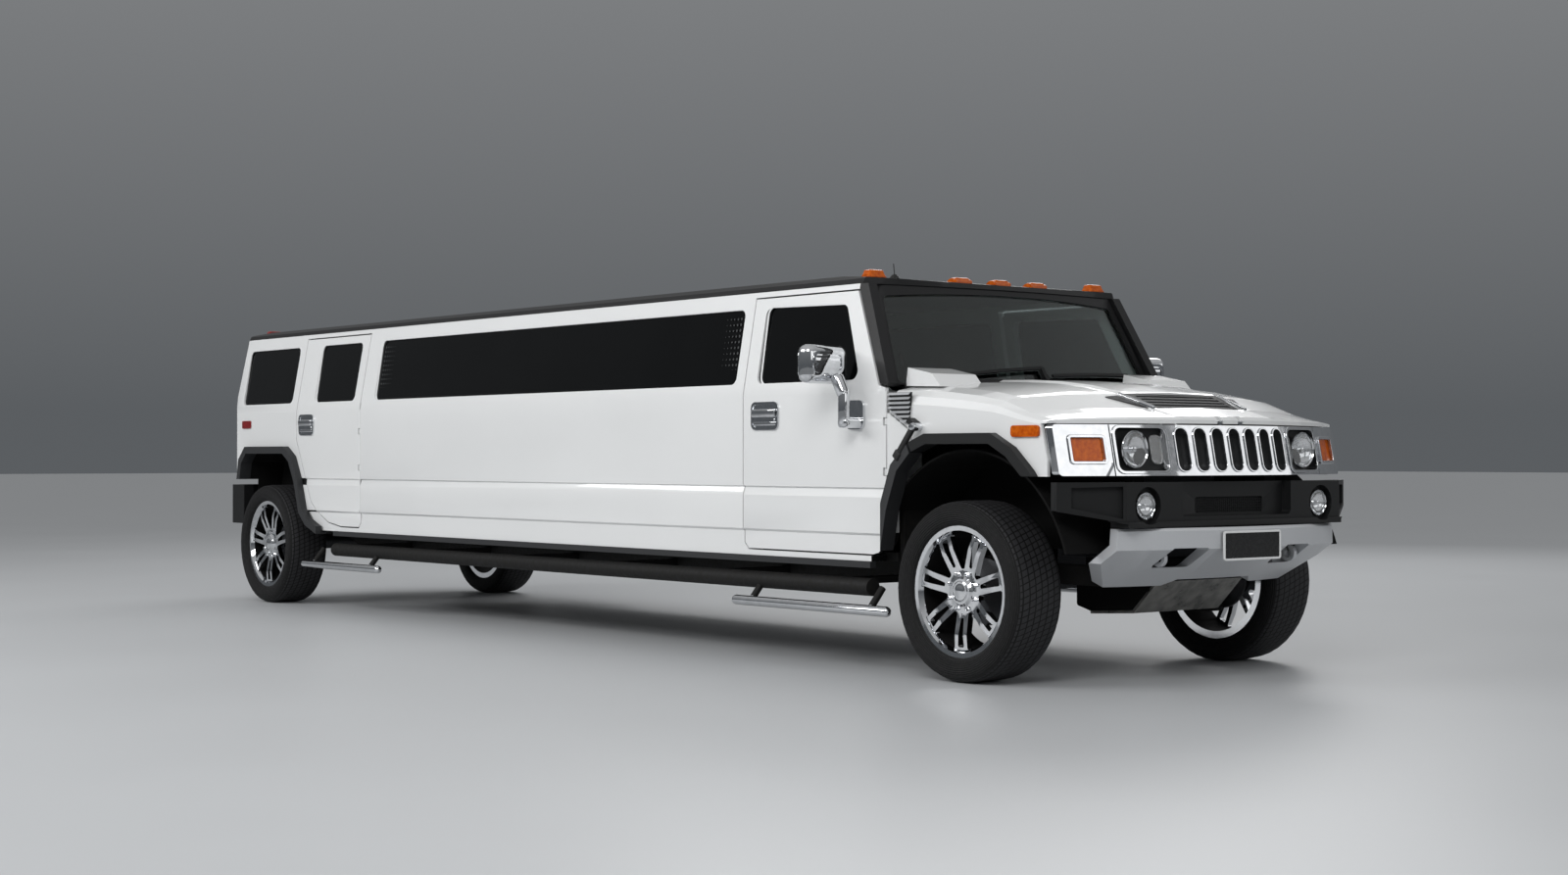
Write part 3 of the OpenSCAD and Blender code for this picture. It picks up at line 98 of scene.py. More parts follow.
# Octaves of every noise, and the part of its range over which colours and roughness pass.
NOISE_DETAIL = 4.0
TONE_FROM, TONE_TO = 0.35, 0.65
ROUGH_FROM, ROUGH_TO = 0.3, 0.7


def mottled(name, dark, pale, grain_mm, rough, bump_mm=0.0, sockets=None):
    """A surface that varies between two colours and two roughnesses over grain of a real size."""
    mat, tree, shader = new_material(name, sockets or {})
    place = add(tree, "TexCoord").outputs["Object"]
    noise = add(tree, "TexNoise", {"Vector": place, "Scale": 1000 / grain_mm,
                                   "Detail": NOISE_DETAIL}).outputs[0]
    ramp = add(tree, "ValToRGB", {"Fac": noise})
    first, last = ramp.color_ramp.elements
    first.position = TONE_FROM
    last.position = TONE_TO
    first.color = linear(dark)
    last.color = linear(pale)
    tree.links.new(ramp.outputs["Color"], shader.inputs["Base Color"])
    span = add(tree, "MapRange", {"Value": noise, "From Min": ROUGH_FROM, "From Max": ROUGH_TO,
                                  "To Min": rough[0], "To Max": rough[1]})
    tree.links.new(span.outputs["Result"], shader.inputs["Roughness"])
    if bump_mm:
        bump = add(tree, "Bump", {"Height": noise, "Distance": bump_mm / 1000})
        tree.links.new(bump.outputs["Normal"], shader.inputs["Normal"])
    return mat


# Each finish: name, dark and pale colour, grain in mm, roughness from and to, bump in mm, other sockets.
# White enamel sprayed under clear lacquer: even and bright, with a sharp gloss.
WHITE = mottled("white_enamel_lacquered", "#e2e3e3", "#e4e5e5", 900, (0.30, 0.34), 0.0,
                {"Coat Weight": 0.9, "Coat Roughness": 0.04})
# Black enamel of the roof and screen surround: deep black with a soft, low gloss.
BLACK = mottled("black_enamel_lacquered", "#08080a", "#0b0b0d", 900, (0.42, 0.48), 0.0,
                {"Specular IOR Level": 0.3, "Coat Weight": 0.2, "Coat Roughness": 0.10})
# Polypropylene moulded with a leather grain: dull charcoal with a fine pebble.
PLASTIC = mottled("polypropylene_grained", "#0d0e0f", "#151617", 2.5, (0.45, 0.60), 0.12,
                  {"Specular IOR Level": 0.3})
# Polypropylene felt of the wheel liners: fibrous, nearly black.
FELT = mottled("polypropylene_felted", "#060606", "#0d0d0d", 5, (0.85, 0.95), 0.6,
               {"Specular IOR Level": 0.2})
# Polypropylene flares, moulded: paler from the weather.
FLARE = mottled("polypropylene_weathered", "#1e1f21", "#28292b", 3, (0.50, 0.65), 0.12)
# Chassis steel under brushed black paint: rough and dusty.
CHASSIS = mottled("chassis_paint_brushed", "#0b0b0c", "#181715", 25, (0.55, 0.80), 0.30,
                  {"Specular IOR Level": 0.3})
# Cast iron and aluminium left bare: grey, sandy.
CASTING = mottled("cast_metal_sanded", "#4b4c4e", "#636467", 4, (0.45, 0.60), 0.25, {"Metallic": 0.9})
# Stainless tube, drawn: a dull shine with faint heat stains.
STAINLESS = mottled("stainless_tube_drawn", "#7d7a75", "#96938d", 30, (0.25, 0.40), 0.0,
                    {"Metallic": 1.0})
# Chrome plate over polished metal: a clear mirror with the least haze.
CHROME = mottled("chrome_plate_polished", "#d2d4d6", "#dcdde0", 40, (0.03, 0.07), 0.0, {"Metallic": 1.0})
# Satin silver paint of the bumper guard, sprayed: fine flake, soft sheen.
SILVER = mottled("silver_paint_satin", "#c0c2c5", "#cacccf", 1.2, (0.32, 0.40), 0.0,
                 {"Metallic": 0.35, "Coat Weight": 0.3, "Coat Roughness": 0.2})
# Aluminium skid plate, polished by hand, so it shows broad smears; its colour is kept darker than bare
# aluminium as painted shade under the bumper.
ALUMINIUM = mottled("aluminium_sheet_polished", "#70706d", "#9a9894", 70, (0.22, 0.42), 0.4,
                    {"Metallic": 1.0})
# Leather, tanned and finished: small pores, soft sheen.
LEATHER = mottled("leather_finished", "#ad9f89", "#bfb29d", 2.2, (0.42, 0.55), 0.25)
# Foam skin of the dash, moulded: dark and dull with a fine grain.
DASH = mottled("dash_foam_skin", "#1b1c1d", "#252627", 2.0, (0.55, 0.70), 0.15)
# Amber acrylic lens, moulded: warm, glossy, lets some light in.
AMBER = mottled("amber_acrylic_moulded", "#b84c04", "#d4660a", 18, (0.10, 0.18), 0.0,
                {"Transmission Weight": 0.15, "IOR": 1.49, "Specular IOR Level": 0.3})
# Red acrylic lens, moulded: deep red under a clear gloss.
RED = mottled("red_acrylic_moulded", "#7a0b0d", "#97120f", 18, (0.08, 0.16), 0.0,
              {"Transmission Weight": 0.2, "IOR": 1.49, "Coat Weight": 0.6})
# Rubber seal, extruded: dull black.
SEAL = mottled("rubber_seal_extruded", "#0c0c0d", "#131313", 6, (0.55, 0.70))
# Privacy glass, floated: nearly black, mirror smooth.
TINTED = mottled("privacy_glass_float", "#040506", "#060708", 400, (0.02, 0.04), 0.0,
                 {"IOR": 1.52, "Specular IOR Level": 0.16})
# Windshield glass, laminated: clear with a green-grey cast.
CLEAR = mottled("laminated_glass_tinted", "#c6d6d3", "#cedcd9", 400, (0.0, 0.02), 0.0,
                {"Transmission Weight": 1.0, "IOR": 1.45})
# Lamp glass, pressed: clear, with a pattern that breaks up the bowl behind it.
LAMP = mottled("lamp_glass_pressed", "#f4f6f6", "#ffffff", 12, (0.02, 0.06), 0.8,
               {"Transmission Weight": 0.85, "IOR": 1.3})
# Number plate blank, pressed aluminium under black film: a flat, even sheen.
PLATE = mottled("reflective_film_rolled", "#0a0a0b", "#101011", 20, (0.22, 0.30))
# Ceramic ink, screen-printed on the glass: a flat grey.
DOTS = mottled("ceramic_ink_printed", "#2a2c2d", "#343637", 4, (0.55, 0.70))
# Mirror glass, silvered: a clear reflection.
MIRROR = mottled("silvered_glass", "#dfe3e4", "#e4e8e9", 300, (0.0, 0.01), 0.0, {"Metallic": 1.0})
# Studio floor paint, rolled: pale grey with a low sheen.
FLOOR = mottled("floor_paint_rolled", "#b9bbbd", "#bbbdbf", 2000, (0.42, 0.46))

# Tread in mm: half the space between ribs, half a groove, half the space between sipes, half a sipe and
# how far a sipe leans for each mm across. Real sipes are finer; these are as coarse as they need to show.
RIB_HALF, GROOVE_HALF = 19.0, 3.5
SIPE_HALF, SIPE_CUT, SIPE_LEAN = 15.0, 2.6, 0.35
# Wall in mm: where it starts from the middle of the tread, and half the space between its rings.
WALL_FROM, RING_HALF = 128.0, 5.0
# Rings rise by a share of the tread's depth for each mm, from a base; the depth is in metres.
RING_SLOPE, RING_BASE, TREAD_DEPTH = 0.08, 0.6, 0.006
# Colours in the grooves and on the ridges, of the tread and of the wall: the grooves are darker as painted
# shade.
TREAD_SHADE_TONES = ("#030303", "#2c2c2e")
WALL_SHADE_TONES = ("#060606", "#141415")
# Patches of dust to a metre, and how rough the cleanest and the dustiest rubber is.
DUST_SCALE, DUST_ROUGH = 60.0, (0.55, 0.85)


def tread_rubber():
    """Tyre rubber, moulded: dull black, ribs and sipes on the tread, fine rings on the wall, with painted
    shade in the grooves.
    """
    mat, tree, shader = new_material("tyre_rubber_moulded", {"Specular IOR Level": 0.28})
    uv = add(tree, "UVMap", uv_map="tread").outputs["UV"]
    split = add(tree, "SeparateXYZ", {"Vector": uv})
    round_mm, across_mm = split.outputs["X"], split.outputs["Y"]
    rib = add(tree, "Math", {0: across_mm, 1: RIB_HALF}, operation="PINGPONG").outputs[0]
    rib_cut = add(tree, "Math", {0: rib, 1: GROOVE_HALF}, operation="GREATER_THAN").outputs[0]
    lean = add(tree, "Math", {0: across_mm, 1: SIPE_LEAN, 2: round_mm}, operation="MULTIPLY_ADD").outputs[0]
    sipe = add(tree, "Math", {0: lean, 1: SIPE_HALF}, operation="PINGPONG").outputs[0]
    sipe_cut = add(tree, "Math", {0: sipe, 1: SIPE_CUT}, operation="GREATER_THAN").outputs[0]
    block = add(tree, "Math", {0: rib_cut, 1: sipe_cut}, operation="MULTIPLY").outputs[0]
    off = add(tree, "Math", {0: across_mm}, operation="ABSOLUTE").outputs[0]
    wall = add(tree, "Math", {0: off, 1: WALL_FROM}, operation="GREATER_THAN").outputs[0]
    ring = add(tree, "Math", {0: off, 1: RING_HALF}, operation="PINGPONG").outputs[0]
    ring_cut = add(tree, "Math", {0: ring, 1: RING_SLOPE, 2: RING_BASE}, operation="MULTIPLY_ADD").outputs[0]
    height = add(tree, "Mix", {"Factor": wall, "A": block, "B": ring_cut}).outputs["Result"]
    # Grooves and ring troughs take the darker colour: painted shade, not a different rubber.
    tones = []
    for level, (groove_shade, ridge) in ((block, TREAD_SHADE_TONES), (ring_cut, WALL_SHADE_TONES)):
        ramp = add(tree, "ValToRGB", {"Fac": level})
        ramp.color_ramp.elements[0].color = linear(groove_shade)
        ramp.color_ramp.elements[1].color = linear(ridge)
        tones.append(ramp.outputs["Color"])
    tone = add(tree, "MixRGB", {"Fac": wall, "Color1": tones[0], "Color2": tones[1]}).outputs["Color"]
    tree.links.new(tone, shader.inputs["Base Color"])
    place = add(tree, "TexCoord").outputs["Object"]
    dust = add(tree, "TexNoise", {"Vector": place, "Scale": DUST_SCALE, "Detail": NOISE_DETAIL}).outputs[0]
    span = add(tree, "MapRange", {"Value": dust, "To Min": DUST_ROUGH[0],
                                  "To Max": DUST_ROUGH[1]}).outputs["Result"]
    tree.links.new(span, shader.inputs["Roughness"])
    bump = add(tree, "Bump", {"Height": height, "Distance": TREAD_DEPTH})
    tree.links.new(bump.outputs["Normal"], shader.inputs["Normal"])
    return mat


TYRE = tread_rubber()


def linked(name, data):
    """An object made from some data and put in the scene."""
    obj = bpy.data.objects.new(name, data)
    bpy.context.scene.collection.objects.link(obj)
    return obj


def finished(name, bm, material, body, angle=30.0, width=0.0):
    """A bmesh as a named piece that rides on a body, smooth up to an angle, with edges rounded by width."""
    mesh = bpy.data.meshes.new(name)
    bm.to_mesh(mesh)
    bm.free()
    mesh.materials.append(material)
    mesh.shade_smooth()
    mesh.set_sharp_from_angle(angle=math.radians(angle))
    obj = linked(name, mesh)
    if width:
        soft = obj.modifiers.new("soft_edges", "BEVEL")
        soft.width = width
        soft.segments = 2
        soft.limit_method = "ANGLE"
        soft.angle_limit = math.radians(angle)
        soft.harden_normals = True
    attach(obj, body)
    return obj


# Panels are blackened inside the wheel arches as painted shade: reach from the axle, depth behind the skin,
# and top.
ARCH_REACH, ARCH_DEPTH, ARCH_TOP = 0.72, 0.004, 1.12
# Rims are blackened inside the barrel as painted shade, standing for the shaded barrel and the dark brakes
# behind it: outside the hub, and behind the face of the spokes.
HUB_REACH, SPOKE_FACE = 0.15, 0.950


def blackened_as_shade(obj, is_panel):
    """Blackens a panel's faces inside the wheel arches, or a rim's faces inside its barrel, as painted shade.
    """
    obj.data.materials.append(FELT)
    for face in obj.data.polygons:
        x, y, z = face.center
        reach = min(math.hypot(x - axle, z - AXLE_Z) for axle in (FRONT_AXLE, REAR_AXLE))
        if is_panel:
            inside = reach < ARCH_REACH and abs(y) < SIDE_Y - ARCH_DEPTH and z < ARCH_TOP
        else:
            inside = reach > HUB_REACH and abs(y) < SPOKE_FACE
        if inside:
            face.material_index = 1


def dressed(node, material, edge_mm, angle):
    """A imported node's own shape, merged and with softened edges, standing for the node."""
    bm = bmesh.new()
    bm.from_mesh(frame["nodes"][node].data)
    bmesh.ops.remove_doubles(bm, verts=bm.verts, dist=NODE_MERGE)
    bmesh.ops.dissolve_limit(bm, angle_limit=math.radians(FLAT_ANGLE), verts=bm.verts, edges=bm.edges)
    obj = finished(node + "_finish", bm, material, BODY_OF[node], angle, edge_mm / 1000)
    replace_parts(obj, node)
    # White panels inside the arches and rim barrels get the black felt as painted shade.
    if material == WHITE or node.startswith("rim_"):
        blackened_as_shade(obj, material == WHITE)


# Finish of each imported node: material, edge radius in mm and the angle above which an edge is sharp.
FINISHES = [
    ("frame", CHASSIS, 2, 30), ("floor", CHASSIS, 2, 30), ("firewall", CHASSIS, 2, 30),
    ("roof", BLACK, 10, 6), ("windshield_frame", BLACK, 2, 30), ("cowl_sides", WHITE, 2, 30),
    ("side_panels", WHITE, 3, 30), ("quarter_panels", WHITE, 3, 30), ("windshield", CLEAR, 0, 30),
    ("side_glass", TINTED, 0, 30), ("cladding", FLARE, 4, 30), ("rock_rails", CHASSIS, 2, 30),
    ("side_steps", CHROME, 1, 40), ("grille", CHROME, 4, 35), ("front_panel", PLASTIC, 2, 30),
    ("front_bumper", PLASTIC, 5, 30), ("bumper_guard", SILVER, 6, 30), ("skid_plate", ALUMINIUM, 2, 30),
    ("amber_lamps", AMBER, 3, 30), ("red_lamps", RED, 3, 30),
    ("rear_bumper", PLASTIC, 5, 30), ("hitch", CHASSIS, 2, 30), ("wheel_liners", FELT, 1, 30),
    ("engine", CASTING, 3, 30), ("drive_shaft", CASTING, 2, 30), ("exhaust", STAINLESS, 1, 30),
    ("fuel_tank", PLASTIC, 6, 30), ("front_suspension", CHASSIS, 2, 30), ("rear_axle", CASTING, 2, 30),
    ("dashboard", DASH, 4, 30), ("wipers", PLASTIC, 1, 30),
    ("hood", WHITE, 16, 6), ("hood_trim", PLASTIC, 2, 30), ("hood_markers", AMBER, 2, 30),
    ("tailgate", WHITE, 4, 30), ("tailgate_glass", TINTED, 0, 30),
    ("knuckle_left", CASTING, 2, 30), ("knuckle_right", CASTING, 2, 30),
]
FINISHES += [(part + side + tail, stuff, edge_mm, 30)
             for side, _ in SIDES
             for part, tail, stuff, edge_mm in (
                 ("front_door_", "", WHITE, 3), ("front_door_", "_glass", TINTED, 0),
                 ("rear_door_", "", WHITE, 3), ("rear_door_", "_glass", TINTED, 0),
                 ("rim_front_", "", CHROME, 3), ("rim_rear_", "", CHROME, 3))]


def placed(bm, rows, at):
    """Turns and moves a bmesh: rows say where its own U, V and W point, at is where its origin goes."""
    turn = Matrix(rows).transposed().to_4x4()
    turn.translation = at
    bmesh.ops.transform(bm, matrix=turn, verts=bm.verts)
    bmesh.ops.remove_doubles(bm, verts=bm.verts, dist=MERGE)
    bmesh.ops.recalc_face_normals(bm, faces=bm.faces)
    return bm


def side_way(sign):
    """U forward, V up and W out of the car's side."""
    return (1, 0, 0), (0, 0, 1), (0, sign, 0)


FRONT_WAY = ((0, 1, 0), (0, 0, 1), (1, 0, 0))
REAR_WAY = ((0, -1, 0), (0, 0, 1), (-1, 0, 0))
TOP_WAY = ((1, 0, 0), (0, 1, 0), (0, 0, 1))


def joined(parts):
    """Several bmeshes as one."""
    whole = bmesh.new()
    for part in parts:
        mesh = bpy.data.meshes.new("part")
        part.to_mesh(mesh)
        part.free()
        whole.from_mesh(mesh)
        bpy.data.meshes.remove(mesh)
    return whole


def slab(outline, depth, corner=0.0, rim=0.0, steps=4):
    """A flat outline with rounded corners, raised by depth; rim keeps only a band of that width."""
    bm = bmesh.new()
    bm.faces.new([bm.verts.new((u, v, 0)) for u, v in outline])
    if corner:
        bmesh.ops.bevel(bm, geom=bm.verts[:], offset=corner, segments=steps, profile=0.5, affect="VERTICES",
                        material=-1, clamp_overlap=True)
    if rim:
        inner = bm.faces[:]
        bmesh.ops.inset_region(bm, faces=inner, thickness=rim, use_boundary=True, use_even_offset=True)
        bmesh.ops.delete(bm, geom=inner, context="FACES_ONLY")
    grown = bmesh.ops.extrude_face_region(bm, geom=bm.faces[:])["geom"]
    raised = [item for item in grown if isinstance(item, bmesh.types.BMVert)]
    bmesh.ops.translate(bm, vec=(0, 0, depth), verts=raised)
    bmesh.ops.recalc_face_normals(bm, faces=bm.faces)
    return bm


def box_outline(width, height, u=0.0, v=0.0):
    """Corners of an upright rectangle round (u, v)."""
    return [(u - width / 2, v - height / 2), (u + width / 2, v - height / 2),
            (u + width / 2, v + height / 2), (u - width / 2, v + height / 2)]


def rounded_block(size, corner, steps=4):
    """A block with rounded edges, round its own middle."""
    bm = bmesh.new()
    bmesh.ops.create_cube(bm, size=1.0)
    bmesh.ops.scale(bm, vec=size, verts=bm.verts)
    bmesh.ops.bevel(bm, geom=bm.edges[:], offset=corner, segments=steps, profile=0.5, affect="EDGES",
                    material=-1, clamp_overlap=True)
    return bm


def turned(profile, steps):
    """A profile of (radius, height) points spun into a full round about W."""
    bm = bmesh.new()
    verts = [bm.verts.new((r, 0, h)) for r, h in profile]
    edges = [bm.edges.new(pair) for pair in zip(verts, verts[1:])]
    bmesh.ops.spin(bm, geom=verts + edges, cent=(0, 0, 0), axis=(0, 0, 1), angle=2 * math.pi, steps=steps,
                   use_merge=True)
    bmesh.ops.remove_doubles(bm, verts=bm.verts, dist=MERGE)
    bmesh.ops.recalc_face_normals(bm, faces=bm.faces)
    return bm


def tube(name, points, radius, body, closed=False):
    """A round rubber bar along points, as a mesh."""
    curve = bpy.data.curves.new(name, "CURVE")
    curve.dimensions = "3D"
    curve.bevel_depth = radius
    curve.bevel_resolution = 3
    curve.use_fill_caps = True
    spline = curve.splines.new("POLY")
    spline.points.add(len(points) - 1)
    for knot, point in zip(spline.points, points):
        knot.co = (*point, 1)
    spline.use_cyclic_u = closed
    path = linked(name + "_path", curve)
    mesh = bpy.data.meshes.new_from_object(path.evaluated_get(bpy.context.evaluated_depsgraph_get()))
    bpy.data.objects.remove(path)
    bm = bmesh.new()
    bm.from_mesh(mesh)
    bpy.data.meshes.remove(mesh)
    finished(name, bm, SEAL, body, angle=40)


# Half of a tyre's section as radius and distance from its middle plane, in mm, from tread to bead.
TYRE_RADIUS = 416
TYRE_HALF = [(TYRE_RADIUS, 0), (TYRE_RADIUS, 75), (413, 112), (403, 131), (385, 143), (355, 145), (322, 138),
             (306, 126), (303, 118)]
TYRE_STEPS = 44
TYRE_Y = 0.8815


def tyre(name, node, x, y):
    """A tyre spun from its section, with the tread measured along and across on its own UV map."""
    section = [(r / 1000, h / 1000) for r, h in TYRE_HALF]
    section = [(r, -h) for r, h in reversed(section)] + section[1:]
    bm = turned(section, TYRE_STEPS)
    across, run = {}, 0.0
    for near, far in zip(TYRE_HALF[:1] + TYRE_HALF, TYRE_HALF):
        run += math.dist(near, far)
        across[far[1]] = run
    layer = bm.loops.layers.uv.new("tread")
    for face in bm.faces:
        middle = face.calc_center_median()
        mid_turn = math.atan2(middle.y, middle.x)
        for loop in face.loops:
            co = loop.vert.co
            turn = math.atan2(co.y, co.x)
            turn += 2 * math.pi * round((mid_turn - turn) / (2 * math.pi))
            level = across[round(abs(co.z) * 1000)] * (1 if co.z >= 0 else -1)
            loop[layer].uv = (turn * TYRE_RADIUS, level)
    placed(bm, ((1, 0, 0), (0, 0, -1), (0, 1, 0)), (x, y, AXLE_Z))
    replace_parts(finished(name, bm, TYRE, BODY_OF[node], angle=50), node)


# Lug nut and hub cap as radius and height, in metres, then where they sit.
NUT = ((0, 0.022), (0.006, 0.021), (0.0095, 0.016), (0.011, 0.004), (0.011, -0.012), (0, -0.012))
CAP = ((0, 0.005), (0.026, 0.0045), (0.034, 0.001), (0.044, 0.0025), (0.051, -0.001), (0.052, -0.008),
       (0, -0.008))
NUTS, NUT_CIRCLE, NUT_Y = 8, 0.084, 0.973
CAP_Y = 0.9925


def wheel_trim(name, node, x, sign):
    """Cap and lug nuts on a rim's outer face."""
    way = side_way(sign)
    parts = []
    for i in range(NUTS):
        angle = 2 * math.pi * (i + 0.5) / NUTS
        at = (x + NUT_CIRCLE * math.cos(angle), sign * NUT_Y, AXLE_Z + NUT_CIRCLE * math.sin(angle))
        parts.append(placed(turned(NUT, steps=6), way, at))
    parts.append(placed(turned(CAP, steps=40), way, (x, sign * CAP_Y, AXLE_Z)))
    finished(name, joined(parts), CHROME, BODY_OF[node], angle=35)


def wheels():
    """Rubber and trim of the four wheels."""
    for side, sign in SIDES:
        for end, x in (("front", FRONT_AXLE), ("rear", REAR_AXLE)):
            tyre("%s_%s_tyre_rubber" % (end, side), "tyre_%s_%s" % (end, side), x, sign * TYRE_Y)
            wheel_trim("%s_%s_wheel_nuts" % (end, side), "rim_%s_%s" % (end, side), x, sign)


# Chrome front: radius of its curve at the foot, height of the foot, lean in degrees, reach past the axle.
GRILLE_ROUND, GRILLE_FOOT, GRILLE_LEAN, GRILLE_REACH = 2.6, 0.948, 11, 0.8


def grille_face(y, z):
    """How far forward the leaning chrome front lies at a height and a place across."""
    radius = GRILLE_ROUND - (z - GRILLE_FOOT) * math.tan(math.radians(GRILLE_LEAN))
    return FRONT_AXLE + GRILLE_REACH - GRILLE_ROUND + math.sqrt(radius * radius - y * y)


def on_grille(bm):
    """Lays a flat bmesh, drawn across and up, on the chrome front."""
    for vert in bm.verts:
        across, up, out = vert.co
        vert.co = (grille_face(across, up) + out, across, up)
    bmesh.ops.recalc_face_normals(bm, faces=bm.faces)
    return bm


# Middle height of the lamps and slots in the chrome front, and place across of a head lamp.
LAMP_Z = 1.065
HEAD_Y = 0.586
# Head and fog lamps: across, up, radius and how far forward the rim lies.
LAMPS = ((HEAD_Y, LAMP_Z, 0.080, grille_face(HEAD_Y, LAMP_Z) - 0.016),
         (0.602, 0.816, 0.057, FRONT_AXLE + 0.770))
# Glass, bowl and bulb of a lamp, as shares of its radius and metres ahead of its rim.
LAMP_DOME = ((1, -0.004), (0.98, 0.002), (0.8, 0.009), (0.45, 0.014), (0, 0.016))
LAMP_BOWL = ((1.06, 0.004), (1.04, 0.007), (1, 0.003), (0.93, -0.006), (0.7, -0.014), (0.35, -0.020),
             (0, -0.021))
LAMP_BULB = ((0, 0.0), (0.14, -0.002), (0.2, -0.008), (0.2, -0.020))
# Frames round the amber lens and round the head lamp: width, height, across, depth, corner and band.
LAMP_FRAMES = ((0.176, 0.130, 0.831, 0.010, 0.018, 0.013), (0.290, 0.218, 0.560, 0.007, 0.040, 0.014))
# Narrow lamp beside the head lamp: width, height, across, depth, corner, and how far back it sits.
NARROW_LAMP = (0.052, 0.130, 0.458, 0.014, 0.024, 0.036)
# Rims of the grille slots: number, spacing, width, height, depth, corner and band.
SLOT_RIMS = (7, 0.112, 0.086, 0.204, 0.006, 0.039, 0.007)


def lamps():
    """Head and fog lamps, bright bowls behind pressed glass, and the frames round lamps and slots."""
    glass, bowls, frames = [], [], []
    for across, up, radius, rim in LAMPS:
        for _, sign in SIDES:
            for section, steps, pile in ((LAMP_DOME, 40, glass), (LAMP_BOWL, 40, bowls),
                                         (LAMP_BULB, 20, bowls)):
                profile = [(radius * share, ahead) for share, ahead in section]
                pile.append(placed(turned(profile, steps), FRONT_WAY, (rim, sign * across, up)))
    for _, sign in SIDES:
        for width, height, across, depth, corner, band in LAMP_FRAMES:
            outline = box_outline(width, height, sign * across, LAMP_Z)
            frames.append(on_grille(slab(outline, depth, corner, band)))
        width, height, across, depth, corner, back = NARROW_LAMP
        narrow = on_grille(slab(box_outline(width, height, sign * across, LAMP_Z), depth, corner))
        bmesh.ops.translate(narrow, vec=(-back, 0, 0), verts=narrow.verts)
        glass.append(narrow)
    count, spacing, width, height, depth, corner, band = SLOT_RIMS
    for slot in range(count):
        outline = box_outline(width, height, (slot - count // 2) * spacing, LAMP_Z)
        frames.append(on_grille(slab(outline, depth, corner, band, 8)))
    panes = finished("lamp_glass", joined(glass), LAMP, "chassis", angle=40)
    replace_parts(panes, "clear_lamps")
    finished("lamp_bowls", joined(bowls), CHROME, "chassis", angle=40)
    finished("lamp_frames", joined(frames), CHROME, "chassis", width=0.002)


# Mesh in the bumper: width and height, bar thickness and place.
MESH_SIZE, MESH_BAR = (0.470, 0.072, 1), 0.004
MESH_AT = (FRONT_AXLE + 0.735, 0, 0.814)
# Number plates: name, body, the way they face and their place.
PLATES = (("front_plate", "chassis", FRONT_WAY, (FRONT_AXLE + 0.871, 0, 0.632)),
          ("rear_plate", "tailgate", REAR_WAY, (REAR_AXLE - 0.558, 0, 0.995)))
# Plate blank, and the rim round it: outline, depth, corner and band.
PLATE_BLANK = (box_outline(0.386, 0.122), 0.005, 0.010)
PLATE_RIM = (box_outline(0.398, 0.134), 0.008, 0.014, 0.010)


def plates_and_mesh():
    """Bumper mesh, and a blank number plate with its rim at either end."""
    mesh = bmesh.new()
    bmesh.ops.create_grid(mesh, x_segments=34, y_segments=6, size=0.5)
    bmesh.ops.scale(mesh, vec=MESH_SIZE, verts=mesh.verts)
    bmesh.ops.wireframe(mesh, faces=mesh.faces[:], thickness=MESH_BAR, offset=0.0, use_replace=True,
                        use_boundary=True, use_even_offset=True)
    finished("bumper_mesh", placed(mesh, FRONT_WAY, MESH_AT), PLASTIC, "chassis", angle=40)
    for name, body, way, at in PLATES:
        finished(name + "_blank", placed(slab(*PLATE_BLANK), way, at), PLATE, body)
        finished(name + "_rim", placed(slab(*PLATE_RIM), way, at), WHITE, body, width=0.001)


# Door mirror: turn in degrees, middle of its head and of its foot.
MIRROR_TURN = 8
MIRROR_HEAD = (FRONT_AXLE - 0.820, 1.130, 1.478)
MIRROR_FOOT = (FRONT_AXLE - 0.735, SIDE_Y + 0.001, 1.235)
# Its front face lies ahead of the head's middle, its glass behind; bars cross the face at these heights.
MIRROR_FACE, MIRROR_BACK = 0.042, 0.0445
MIRROR_BARS = (-0.014, 0.010, 0.034)
# The post stands ahead of the foot and outside it.
MIRROR_POST = (0.025, 0.100)
# Its shell and neck: size, edge radius and steps.
MIRROR_SHELL = ((0.288, 0.188, 0.092), 0.042, 6)
MIRROR_NECK = ((0.060, 0.120, 0.060), 0.022)
# Frame on the face, plinth of the foot and glass: outline, depth, corner and band.
MIRROR_FRAME = (box_outline(0.216, 0.104, 0.008, 0.008), 0.010, 0.034, 0.014)
MIRROR_PLINTH = (box_outline(0.130, 0.140), 0.014, 0.030)
MIRROR_PANE = (box_outline(0.240, 0.146), 0.004, 0.032)
# One bar on the face: width, height, place across, depth and corner.
BAR_WIDE, BAR_HIGH, BAR_ACROSS, BAR_DEEP, BAR_CORNER = 0.176, 0.010, 0.008, 0.008, 0.004
# Post and elbow: size, edge radius, how far out and how far up from the post's own place.
MIRROR_ARM = (((0.052, 0.175, 0.050), 0.018, 0.0, 0.030),
              ((0.066, 0.050, 0.122), 0.018, -0.040, -0.040))
# The neck's rise, and its middle from the post's place: ahead, out and up.
NECK_RISE, NECK_AT = (-0.050, 0.010, 0.100), (-0.022, 0.004, 0.140)


